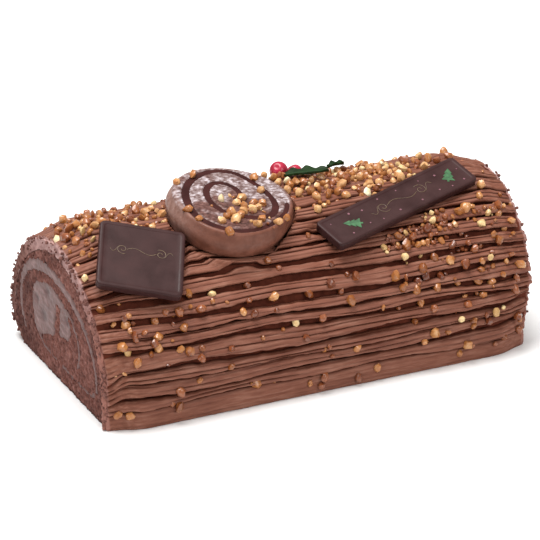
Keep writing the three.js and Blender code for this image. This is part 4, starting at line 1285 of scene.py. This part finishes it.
def sliceSheen(x, y):  # pale dust with a painted sheen, a painted reflection, over the far side, the right and the outer left of the face
    sheen = 0.85 * smooth((y + 7) / 15)
    sheen += 0.8 * smooth((x - 11) / 6) * smooth((y + 17) / 7)
    sheen += 0.6 * smooth((-x - 17) / 4) * smooth((y + 14) / 9)
    sheen -= 0.45 * np.exp(-((x - 3) ** 2 + (y + 4) ** 2) / 60)
    sheen += [lump(a * 0.16, b * 0.16, 9) for a, b in zip(x, y)]
    return np.clip(smooth((sheen - 0.15) / 0.7), 0, 1)


def swirlLine():  # the spiral's middle line, and half its width at each point
    line = smoothCurve(roundel["swirlPath"], False, 110)
    return line, spreadOver(roundel["swirlWidth"], len(line)) / 2


def makeSlice(material):
    radius = roundel["radius"]
    points, faces = rowsToSurface(sliceRows())
    reach = np.hypot(points[:, 0], points[:, 1])
    points[:, :2] *= (1 + rimWave(points[:, 0], points[:, 1]) / radius)[:, None]
    line, half = swirlLine()
    x, y, z = points.T.copy()
    onTop = z > -0.2
    away = np.full(len(points), 9.0)
    away[onTop] = distanceToLine(points[onTop][:, :2], line, half)
    ring = smooth((reach - radius + roundel["rindWidth"]) / 0.9) * (0.3 + 0.7 * smooth((8 - y) / 16))
    rind = np.where(z < -1.2, 1, ring)
    sink = roundel["groove"] * smooth((0.1 - away) / 0.5)
    coarse, fine = roundel["grain"]
    for i in np.nonzero(onTop)[0]:
        grain = coarse * lump(x[i] * 0.8, y[i] * 0.8, 0) + fine * lump(x[i] * 1.9, y[i] * 1.9, 7.6)
        points[i, 2] += grain * (1 - rind[i]) - sink[i]
    points, faces = outwards(toWorld(roundelFrame, slanted(points)), faces)
    piece = meshPiece("roulade_slice", points, faces, material)
    paint(piece, "rind", rind)
    # painted sheen over the pale dust of the face
    paint(piece, "sheen", sliceSheen(x, y))
    paint(piece, "powder", smooth((y * 0.5 - x - 12) / 16) * 0.75)
    finishPiece(piece, "roulade", "roundel")


def makeSwirl(material):
    line, half = swirlLine()

    def place(u, v, w):
        at = u * (len(line) - 1)
        k = min(int(at), len(line) - 2)
        middle = mix(line[k], line[k + 1], at - k)
        ahead = line[min(k + 2, len(line) - 1)] - line[max(k - 1, 0)]
        side = np.array([-ahead[1], ahead[0]]) / np.hypot(*ahead)
        across = (v - 0.5) * 2
        width = np.interp(u, np.linspace(0, 1, len(half)), half) + 0.1
        width *= min(1, (min(u, 1 - u) * 90 + 0.2)) ** 0.5 if w > 0 else 1
        flat = middle + side * across * width
        crown = -0.3 - 0.22 * across ** 4 + 0.16 * lump(flat[0] * 0.35, flat[1] * 0.35, 2)
        return np.array([flat[0], flat[1], mix(-5, crown, w)])

    points, faces, _ = blockSurface((200, 8, 2), place)
    points, faces = outwards(toWorld(roundelFrame, slanted(points)), faces)
    finishPiece(meshPiece("ganache_spiral", points, faces, material), "ganache", "swirl", sharp=60)


def roundedRing(halfX, halfY, corner, z):  # a rectangle with round corners, as one ring of points
    corner = max(0.15, corner)
    arcs = []
    for cx, cy, start in ((1, -1, -90), (1, 1, 0), (-1, 1, 90), (-1, -1, 180)):
        middle = np.array([cx * (halfX - corner), cy * (halfY - corner), z])
        turns = [math.radians(start + 15 * k) for k in range(7)]
        arcs.append([middle + (corner * math.cos(turn), corner * math.sin(turn), 0) for turn in turns])
    ring = []
    for arc, following in zip(arcs, arcs[1:] + arcs[:1]):
        ring += arc + [mix(arc[-1], following[0], k / 10) for k in range(1, 10)]
    return ring


plaqueProfile = [  # inset from the edge and height, without the thickness for the rows under the face
    (4, 0), (0.8, 0), (0.35, 0.12), (0.1, 0.5),
    (0.05, -1.0), (0.0, -0.55), (0.12, -0.24), (0.34, -0.07), (0.7, 0), (1.55, 0), (1.8, -0.05), (2.0, -0.16),
    (2.25, -0.2), (4, -0.2), (6.5, -0.2),
]
plaqueFootRows = 4
printTop = -0.2  # height of a plaque's sunk face


def makePlaque(name, plaque, placed, node, material):
    halfX, halfY, thick = plaque["length"] / 2, plaque["width"] / 2, plaque["thickness"]
    rows = []
    for number, (inset, z) in enumerate(plaqueProfile):
        height = z - thick if number < plaqueFootRows else z
        rows.append(roundedRing(halfX - inset, halfY - inset, plaque["corner"] - inset * 0.6, height))
    points, faces = rowsToSurface(rows)
    for point in points:
        if point[2] > -0.5:
            point[2] += 0.05 * lump(point[0] * 0.2, point[1] * 0.2, 1)
    points, faces = outwards(toWorld(placed, points), faces)
    finishPiece(meshPiece(name, points, faces, material), "dark_plaque", node)


def prism(outline, low, high):
    count = len(outline)
    points = [np.array([x, y, low]) for x, y in outline] + [np.array([x, y, high]) for x, y in outline]
    faces = [tuple(range(count))[::-1], tuple(range(count, 2 * count))]
    faces += [(i, (i + 1) % count, count + (i + 1) % count, count + i) for i in range(count)]
    return outwards(np.array(points), faces)


def scrollWork(length, height):  # two curls joined by a wave, a plain ornament
    z = printTop + 0.06
    paths = []
    for side in (-1, 1):
        curl = []
        for k in range(30):
            turn = k / 29 * math.tau * 1.35
            reach = mix(0.5, height * 0.48, k / 29)
            curl.append((side * (length * 0.3 + reach * math.cos(turn)), reach * math.sin(turn) * side, z))
        rise = side * height * 0.3
        tail = []
        for t in np.linspace(0, 1, 12):
            tail.append((side * length * mix(0.5, 0.34, t), rise * math.sin(math.pi * t * 1.5), z))
        paths += [(curl, 0.16), (tail, 0.13)]
    wave = []
    for t in np.linspace(0, 1, 26):
        wave.append((length * 0.24 * (2 * t - 1), height * 0.22 * math.sin(math.tau * t), z))
    return joinShapes([outwards(*tubeAlong(path, girth)) for path, girth in paths + [(wave, 0.16)]])


def firTree(size):
    half = [(0.39, 0.0), (0.19, 0.3), (0.31, 0.3), (0.13, 0.6), (0.23, 0.6), (0.0, 1.0)]
    right = [(0.06, -0.14), (0.06, 0.0)] + half
    left = [(-x, y) for x, y in reversed(right[:-1])]
    return [(x * size, y * size) for x, y in right + left]


def turnedOutline(outline, centre, turn):
    c, s = math.cos(math.radians(turn)), math.sin(math.radians(turn))
    return [(centre[0] + x * c - y * s, centre[1] + x * s + y * c) for x, y in outline]


prints = {
    "trees": [((-23.4, -2.2), 60, 7.7), ((27.9, -2.2), -40, 7.6)],  # foot of each tree, turn and height
    "dots": [
        (-35, 4), (-30, -5.4), (-24, 5), (-19.6, -4.4), (-17.6, 3.6), (-13, -5.6), (-7.2, 5.4), (-3, -5.2),
        (3.4, 5.2), (9.6, -5.6), (16, 4.6), (20.4, -4.8), (24.6, 3.4), (27, -6), (34.4, -5.4), (36, 1.4),
    ],
    "dotRadius": 0.42,
    "scrolls": [(27, 5.5, (0, 3.2, 0)), (36, 6.5, (2.5, 0, 0))],  # length, height and shift on each plaque
}


def makePrints(gold, green, pink):
    scrolls = []
    for (length, height, shift), (placed, _) in zip(prints["scrolls"], plaques):
        points, faces = scrollWork(length, height)
        scrolls.append((toWorld(placed, points + shift), faces))
    trees = []
    for foot, turn, size in prints["trees"]:
        trees.append(prism(turnedOutline(firTree(size), foot, turn), printTop - 0.1, printTop + 0.13))
    dots = []
    for i, foot in enumerate(prints["dots"]):
        reach = prints["dotRadius"] * (0.75 + 0.5 * ((i * 7) % 5) / 4)
        turns = [math.tau * k / 12 for k in range(12)]
        circle = [(reach * math.cos(turn), reach * math.sin(turn)) for turn in turns]
        dots.append(prism(turnedOutline(circle, foot, 0), printTop - 0.1, printTop + 0.11))
    points, faces = joinShapes(scrolls)
    finishPiece(meshPiece("gold_scrolls", points, faces, gold), "printed_colour")
    for name, shapes, material in (("fir_trees", trees, green), ("pink_dots", dots, pink)):
        points, faces = joinShapes(shapes)
        piece = meshPiece(name, toWorld(barFrame, points), faces, material)
        finishPiece(piece, "printed_colour", sharp=40)


def makeBerries(material):
    rings = 24
    for berry in berries:
        rows = []
        for k in range(1, rings):
            turn = math.pi * k / rings
            dimple = 0.16 * math.exp(-((math.pi - turn) / 0.32) ** 2)  # at the stalk
            reach = berry["radius"] * (1 - dimple)
            ring = turned(reach * math.sin(turn), -reach * math.cos(turn) * 0.97, 36, 0.08, berry["radius"])
            rows.append(ring)
        points, faces = rowsToSurface(rows)
        tilt = Euler((*berry["lean"], 0)).to_matrix()
        points, faces = outwards(points @ np.array(tilt).T + berry["centre"], faces)
        finishPiece(meshPiece("red_" + berry["name"], points, faces, material), "berry", berry["name"])


leafShape = {
    "thickness": 0.9, "cells": (60, 24, 1), "edgeRise": 0.8, "edgeWave": 0.4, "droop": 2.2,
    "midrib": 0.35, "midribDepth": 0.16, "sideVeins": 7, "sideVeinDepth": 0.1,
}
leaves = [
    {"name": "leaf_1", "stem": (7.5, 8.4, 75.8), "length": 21, "width": 8.4, "spikes": 3,
     "heading": -6, "roll": -2},
    {"name": "leaf_2", "stem": (31.6, 14.4, 73.2), "length": 8.8, "width": 4, "spikes": 2,
     "heading": 9, "roll": -2},
]


def leafTurn(leaf):
    turn = Matrix.Rotation(math.radians(leaf["heading"]), 3, "Z")
    return turn @ Matrix.Rotation(math.radians(leaf["roll"]), 3, "X")


def makeLeaves(material):
    for leaf in leaves:
        length, width, spikes = leaf["length"], leaf["width"], leaf["spikes"]
        turn = leafTurn(leaf)
        veins = []

        def place(u, v, w):
            across = v * 2 - 1
            spine = math.sin(math.pi * min(1, u * 0.94 + 0.03)) ** 0.55
            spike = 0.62 + 0.38 * abs(math.cos(math.pi * (spikes * u + 0.25))) ** 2.2
            half = width / 2 * spine * mix(0.8, spike, float(smooth((abs(across) - 0.35) / 0.65)))
            wave = leafShape["edgeWave"] * math.cos(math.pi * (2 * spikes * u + 0.5))
            lift = (leafShape["edgeRise"] + wave) * across ** 2 - leafShape["droop"] * (u - 0.4) ** 2
            midrib = math.exp(-(across * half / leafShape["midrib"]) ** 2)
            side = abs(math.sin(math.pi * (u * leafShape["sideVeins"] - abs(across) * 1.3)))
            sideVein = math.exp(-(side / 0.16) ** 2) * (0.15 + 0.85 * min(1, abs(across) * 3)) * 0.6
            lift += (w - 0.5) * leafShape["thickness"]
            if w == 1:
                lift -= leafShape["midribDepth"] * midrib + leafShape["sideVeinDepth"] * sideVein
            veins.append(max(midrib, sideVein) * w)
            return np.array(turn @ Vector((length * u, across * half, lift))) + leaf["stem"]

        points, faces, _ = blockSurface(leafShape["cells"], place)
        points, faces = outwards(points, faces)
        piece = meshPiece("holly_" + leaf["name"], points, faces, material)
        paint(piece, "vein", veins)
        finishPiece(piece, "leaf", leaf["name"], sharp=60)


# chopped nuts

nutRule = {
    "seed": 20241, "tries": 9000, "smallest": 2.6, "largest": 5.8, "smallShare": 1.3, "spacing": 0.36,
    "sparse": 0.03, "along": (0.012, 0.985), "clearOfFoot": 5, "lift": 0.2, "sliceLift": 0.12,
    "stackRise": 2.2, "stackFrom": 0.9,
    "zones": [  # middle along the log, middle up the coat, reach both ways and share covered
        (-78, 101, 26, 17, 0.9), (12, 104, 20, 14, 1), (41, 102, 21, 17, 1), (64, 106, 13, 9, 0.5),
        (50, 64.5, 14, 7, 0.95), (84, 66, 12, 14, 0.18), (-72, 44, 22, 12, 0.12), (64, 36, 32, 24, 0.1),
    ],
    "toasted": (85, 20),  # nuts are toasted brown up to this far up the coat, and lighter over the crest
    "toastOn": {"crestLeft": 0.55, "crestRight": 0.32, "heap": 0.3, "slice": 0.2, "sliceBits": 0.4},
}
fillRule = {  # smaller bits between the nuts
    "seed": 611, "tries": 14000, "smallest": 1.5, "largest": 3.7, "smallShare": 1, "spacing": 0.32,
    "sparse": 0.005, "along": (0.008, 0.99), "onSlice": 26, "sliceSizes": (1.1, 2.2), "sliceReach": 17,
    "zones": [
        (-78, 99, 27, 19, 0.4), (10, 102, 24, 18, 0.45), (41, 102, 24, 18, 0.45), (66, 104, 18, 12, 0.3),
        (38, 58.5, 8, 5.5, 1), (48, 61.5, 9, 6.5, 1), (58, 64, 9, 6.5, 1),
        (60, 56, 16, 10, 0.3), (84, 66, 14, 14, 0.14), (-72, 46, 22, 12, 0.06), (64, 38, 30, 22, 0.04),
    ],
}
placedNuts = {  # single nuts that catch the eye: along the log, up the coat and size
    "pale_nuts": [
        (-97.5, 103, 6.2), (-97.5, 72, 4.6), (-89.5, 35.5, 4.4), (-48.5, 53, 4.6), (-14, 34.5, 5),
        (32, 58.5, 4.4), (57, 66, 4.6), (83.5, 65, 4.4), (78.5, 60.5, 5.2), (39.5, 52.5, 4.8),
        (79, 45.5, 4.2), (63.5, 22, 4.6), (80.5, 22, 5),
    ],
    "amber_nuts": [
        (-95.5, 56.5, 5), (-88, 47, 5), (-87, 31, 5), (-96, 7.5, 4.8), (-91, 7, 4.8), (-64.5, 41.5, 5),
        (-58.5, 55, 4.4), (-21, 62, 4.8), (14, 18, 4.4), (11.5, 39, 5.6), (43, 38, 5.4), (60, 47.5, 4.8),
        (53.5, 50, 4.8), (86, 79.5, 5), (24.5, 6.5, 4.4), (18.5, 89.5, 5), (10, 82, 5), (79, 35, 4.4),
    ],
    "dark_nuts": [
        (-86, 41.5, 5), (-78.5, 37.5, 4.8), (-65, 48, 4.8), (-55.5, 47.5, 5), (48.5, 43, 5.2), (55, 42, 4.4),
        (73, 50.5, 5), (62.5, 53.5, 4.6), (66.5, 28, 4.4), (50, 29, 4.4), (-32.5, 41.5, 4.6), (-2.5, 3.6, 4.4),
        (15.5, 3.6, 4.4),
    ],
}
heapNuts = [  # nuts heaped before the berries and the leaf: place and size
    (-6.6, 12.8, 76.2, 4.4), (-6, 11.5, 73, 4.6), (-3.6, 12, 75.3, 4.8), (-3.4, 8.6, 73.6, 4.8),
    (-1.8, 9.4, 75.7, 4.8), (0.6, 8.2, 75.3, 4.6), (0, 5, 73.2, 4.8), (3.6, 9, 75.4, 4.8),
    (3.6, 5.4, 74, 4.8), (14.6, 4.4, 73.4, 4.4), (7.6, 4.2, 74.8, 4.6), (11, 2.6, 74.4, 4.4),
    (14.6, 2, 73.8, 4.8), (7.8, 2, 73.8, 4.4), (5.2, -1, 73, 4.6), (19.5, -1, 72.4, 4.4),
    (9.5, -4, 72.4, 4.4), (30, 2, 71.4, 4.6), (20, 8.4, 72.4, 4.6), (25, 7.4, 71.8, 4.6),
    (32, 14, 70.6, 4.4), (37, 15, 70.2, 4.4),
]
roundelNuts = [  # nuts on the slice's face: across, along, size
    (4.4, 0.4, 5.8), (2.8, -5.8, 4.8), (5.1, -9.4, 5.6), (11.8, -5, 4.8), (0.4, -3, 4.4),
    (-5.2, -10.4, 5.6), (-5.4, -15.6, 5.2), (-12.2, -16, 4.8), (2.8, -20.2, 4.8), (6.6, -16.4, 4.6),
    (12.6, -20, 5), (-23.2, -5.2, 4.8), (-21.2, -12.6, 3.8), (-9.7, 21.4, 5), (-19.4, 16.4, 4.4),
    (15.5, 5.1, 5.2), (-5.2, 0.6, 4.6), (1, -9.6, 4.6), (17.2, 16, 4.4), (-12, -24.2, 5),
    (8, -4, 4.6), (8.4, -7.8, 4.4), (-8.4, -13, 4.6), (-2, -13, 4.8), (18, -17, 4),
]
paleRoundelNuts = [16]  # which of those are pale


def nutBlocked(centre, reach):
    for placed, plaque in plaques:
        x, y, z = toLocal(placed, centre)
        if abs(x) < plaque["length"] / 2 + reach and abs(y) < plaque["width"] / 2 + reach and -12 < z < 4:
            return True
    x, y, z = toLocal(roundelFrame, centre)
    if math.hypot(x, y) < roundel["radius"] + reach and -20 < z < 4:
        return True
    for leaf in leaves:
        x, y, z = toLocal((np.array(leafTurn(leaf)), np.array(leaf["stem"])), centre)
        far = (x / leaf["length"] * 2 - 1) ** 2 + (y / leaf["width"] * 2) ** 2
        if far < 1 and z > -reach:
            return True
    return any(math.dist(centre, berry["centre"]) < berry["radius"] + reach + 0.3 for berry in berries)


def nutPlace(share, s, size):  # a nut's middle, sunk a little between the strokes, and the crest under it
    crest, outward, _ = coatPoint(share, s)
    centre = crest + outward * (nutRule["lift"] * size - 0.7 * depthAt(s, share))
    centre[2] += moundAt(crest[0], crest[1]) if outward[2] > 0 and s > 50 else 0
    return centre, crest


def nutDensity(x, s, rule):
    density = rule["sparse"]
    for zoneX, zoneS, reachX, reachS, covered in rule["zones"]:
        far = ((x - zoneX) / reachX) ** 2 + ((s - zoneS) / reachS) ** 2
        density = max(density, covered * math.exp(-(far ** 2)))
    return density


def toastAt(x, s):  # nuts are toasted on the front, less over the crest, and least at its right
    toastTo, fade = nutRule["toasted"]
    crest = nutRule["toastOn"]["crestLeft" if x < -40 else "crestRight"]
    return max(float(smooth((toastTo - s) / fade)), crest)


def scatterNuts(rule, spots):  # adds a nut wherever the rule wants one and none is in the way
    draw = randomStream(rule["seed"])
    (first, last), clear = rule["along"], nutRule["clearOfFoot"]
    for _ in range(rule["tries"]):
        share, s, chance, sizeDraw = draw(), draw() * girth, draw(), draw()
        density = nutDensity((share - 0.5) * logLength, s, rule)
        if chance > density or not clear <= s <= girth - clear or not first <= share <= last:
            continue
        size = mix(rule["smallest"], rule["largest"], sizeDraw ** rule["smallShare"])
        centre, crest = nutPlace(share, s, size)
        if moundAt(centre[0], centre[1]) > nutRule["stackFrom"]:
            centre[2] += nutRule["stackRise"] * chance / density
        if any(math.dist(spot[0], centre) < rule["spacing"] * (spot[1] + size) for spot in spots):
            continue
        if not nutBlocked(centre, size / 2):
            spots.append((centre, size, crest, None, toastAt(centre[0], s)))


def nutSpots():  # middle, size, crest, kind where one is given, and toast of each nut on the icing
    spots = []
    for kind, nuts in placedNuts.items():
        for x, s, size in nuts:
            centre, crest = nutPlace(x / logLength + 0.5, s, size)
            spots.append((centre, size, crest, kind, toastAt(x, s)))
    for *place, size in heapNuts:
        spots.append((np.array(place), size, np.array(place), None, nutRule["toastOn"]["heap"]))
    scatterNuts(nutRule, spots)
    scatterNuts(fillRule, spots)
    return spots


nutShape = {
    "count": 12, "corners": 18, "seed": 31, "pull": (0.85, 1.06),
    "stretch": ((0.47, 0.68), (0.4, 0.56), (0.33, 0.48)),
}


def makeNutShapes():  # chopped pieces: the hull of a few points on a stretched ball
    shapes = bpy.data.collections.new("nut shapes")
    draw = randomStream(nutShape["seed"])
    corners = nutShape["corners"]
    for k in range(nutShape["count"]):
        work = bmesh.new()
        stretch = [mix(*ends, draw()) for ends in nutShape["stretch"]]
        for i in range(corners):
            z = 1 - 2 * (i + 0.5) / corners
            turn = i * 2.39996 + draw() * 0.9  # the golden angle spreads the corners evenly
            ring = math.sqrt(1 - z * z)
            pull = mix(*nutShape["pull"], draw())
            corner = (math.cos(turn) * ring, math.sin(turn) * ring, z)
            work.verts.new([at * wide * pull for at, wide in zip(corner, stretch)])
        bmesh.ops.convex_hull(work, input=work.verts)
        mesh = bpy.data.meshes.new(f"nut {k}")
        work.to_mesh(mesh)
        work.free()
        shapes.objects.link(bpy.data.objects.new(f"nut {k}", mesh))
    return shapes


def nutGroup():
    inputs = {"Shapes": "Collection", "Seed": "Int", "Material": "Material"}
    tree, given = newNodeGroup("scattered nuts", inputs)
    seed = {"Seed": given["Seed"]}
    whirl = addNode(tree, "FunctionNodeRandomValue", seed, data_type="FLOAT_VECTOR")
    whirl.inputs["Max"].default_value = (math.tau, math.tau, math.tau)
    turn = addNode(tree, "FunctionNodeEulerToRotation", {0: whirl.outputs["Value"]}).outputs[0]
    pick = addNode(tree, "FunctionNodeRandomValue", seed, data_type="INT")
    pick.inputs["Max"].default_value = nutShape["count"] - 1
    picked = next(s for s in pick.outputs if s.enabled)
    shapes = addNode(tree, "GeometryNodeCollectionInfo", {
        "Collection": given["Shapes"], "Separate Children": True,
        "Reset Children": True}).outputs["Instances"]
    placed = geometryFrom(tree, "InstanceOnPoints", {
        "Points": given["Geometry"], "Instance": shapes, "Pick Instance": True, "Instance Index": picked,
        "Rotation": turn, "Scale": namedValue(tree, "size", "FLOAT")})
    closeGroup(tree, placed, given["Material"])
    return tree


nutKinds = {  # share of each kind where nuts are light and where they are toasted, and how large it is drawn
    "dark_nuts": {"slot": "dark_nut", "upTo": (0.12, 0.45), "gloss": 0.3, "drawn": 0.95,
                  "tones": ((0.12, 0.027, 0.009), (0.26, 0.075, 0.024), (0.4, 0.15, 0.05))},
    "amber_nuts": {"slot": "amber_nut", "upTo": (0.86, 0.97), "gloss": 0.32, "drawn": 0.93,
                   "tones": ((0.19, 0.05, 0.011), (0.41, 0.155, 0.042), (0.76, 0.47, 0.22))},
    "pale_nuts": {"slot": "pale_nut", "upTo": (1.0, 1.0), "gloss": 0.5, "drawn": 0.85,
                  "tones": ((0.46, 0.26, 0.09), (0.7, 0.5, 0.24), (0.86, 0.74, 0.5))},
}


def scatterPiece(name, places, sizes, tints, material):
    piece = addObject(name, meshFrom(name, places))
    paint(piece, "size", np.array(sizes) * mm)
    paint(piece, "tint", tints)
    growNodes(piece, nutTree, {"Shapes": nutShapes, "Seed": len(name), "Material": material})
    piece.data.polygons.foreach_set("use_smooth", [True] * len(piece.data.polygons))
    return piece


def makeNuts():
    spots = nutSpots()
    print("nut places:", len(spots))
    centres = settle(np.array([spot[0] for spot in spots]), np.array([spot[2] for spot in spots]))
    places = [(centre, spot[1], spot[3], spot[4]) for centre, spot in zip(centres, spots)]
    toasts = nutRule["toastOn"]
    for number, (x, y, size) in enumerate(roundelNuts):
        kind = "pale_nuts" if number in paleRoundelNuts else "amber_nuts"
        place = toWorld(roundelFrame, (x, y, size * nutRule["sliceLift"]))
        places.append((place, size, kind, toasts["slice"]))
    draw = randomStream(nutRule["seed"] + 9)
    for _ in range(fillRule["onSlice"]):
        size, turn = mix(*fillRule["sliceSizes"], draw()), draw() * math.tau
        reach = fillRule["sliceReach"] * draw()
        place = (3 + reach * math.cos(turn), -8 + reach * math.sin(turn), size * 0.15)
        places.append((toWorld(roundelFrame, place), size, None, toasts["sliceBits"]))
    kinds = {name: [] for name in nutKinds}
    for centre, size, given, toast in places:
        pick = draw()
        drawn = given or next(name for name, kind in nutKinds.items() if pick <= mix(*kind["upTo"], toast))
        kinds[drawn].append((centre, size * nutKinds[drawn]["drawn"], draw() * 0.6 + 0.4 * (1 - toast)))
    for name, kind in nutKinds.items():
        material = nutFinish(name.replace("_", " "), kind["tones"], kind["gloss"])
        piece = scatterPiece(name, *zip(*kinds[name]), material)
        finishPiece(piece, kind["slot"], "icing", "roundel", sharp=44)


crumbs = {"count": 340, "seed": 91, "sizes": (0.8, 2.2), "depth": 8, "sink": 0.15, "atLeft": 0.6}


def makeCrumbs():  # loose crumb along the rims of both cuts
    draw = randomStream(crumbs["seed"])
    places, sizes = [], []
    for _ in range(crumbs["count"]):
        side = 0 if draw() < crumbs["atLeft"] else 1
        s = mix(2, girth - 2, draw())
        size = mix(*crumbs["sizes"], draw() ** 2)
        crest, outward, _ = coatPoint(side, s)
        centre = crest - outward * (0.6 + crumbs["depth"] * draw() ** 1.6)
        centre[0] += (size * crumbs["sink"]) * (1 if side else -1)
        centre[2] = max(centre[2], size * 0.5)
        places.append(centre)
        sizes.append(size)
    piece = scatterPiece("rim_crumbs", places, sizes, [draw() for _ in sizes], crumbFinish())
    finishPiece(piece, "sponge", "sponge", sharp=28)


# making it all

makeBaseCoat(gapShadeFinish())
makeStrokes(buttercreamFinish())
print("icing made")
spongeRoll, _ = slabThrough("sponge_roll", spongeDistance, crumbRelief, spongeFinish())
finishPiece(spongeRoll, "sponge", "sponge", sharp=55)
creamLayer, creamPoints = slabThrough("cream_layer", creamDistance, creamRelief, creamFinish())
# painted shade low down on the cream, and the sponge's colour at its edges
paint(creamLayer, "soakAndShade", soakAndShadeAt(creamPoints))
finishPiece(creamLayer, "cream", "filling", sharp=55)
print("roll and filling made")
makeSlice(sliceFinish())
makeSwirl(ganacheFinish())
chocolate = plaqueFinish()
makePlaque("square_tile", squarePlaque, squareFrame, "square_plaque", chocolate)
makePlaque("bar_tile", barPlaque, barFrame, "bar_plaque", chocolate)
makePrints(
    printFinish("gold print", (0.085, 0.05, 0.03), (0.15, 0.095, 0.05)),
    printFinish("green print", (0.02, 0.08, 0.028), (0.045, 0.15, 0.055)),
    printFinish("pink print", (0.13, 0.045, 0.062), (0.22, 0.085, 0.11)),
)
makeBerries(berryFinish())
makeLeaves(leafFinish())
nutTree, nutShapes = nutGroup(), makeNutShapes()
makeNuts()
makeCrumbs()
for shape in list(nutShapes.objects):
    bpy.data.objects.remove(shape)
bpy.data.collections.remove(nutShapes)
print("toppings made")

bpy.context.view_layer.update()
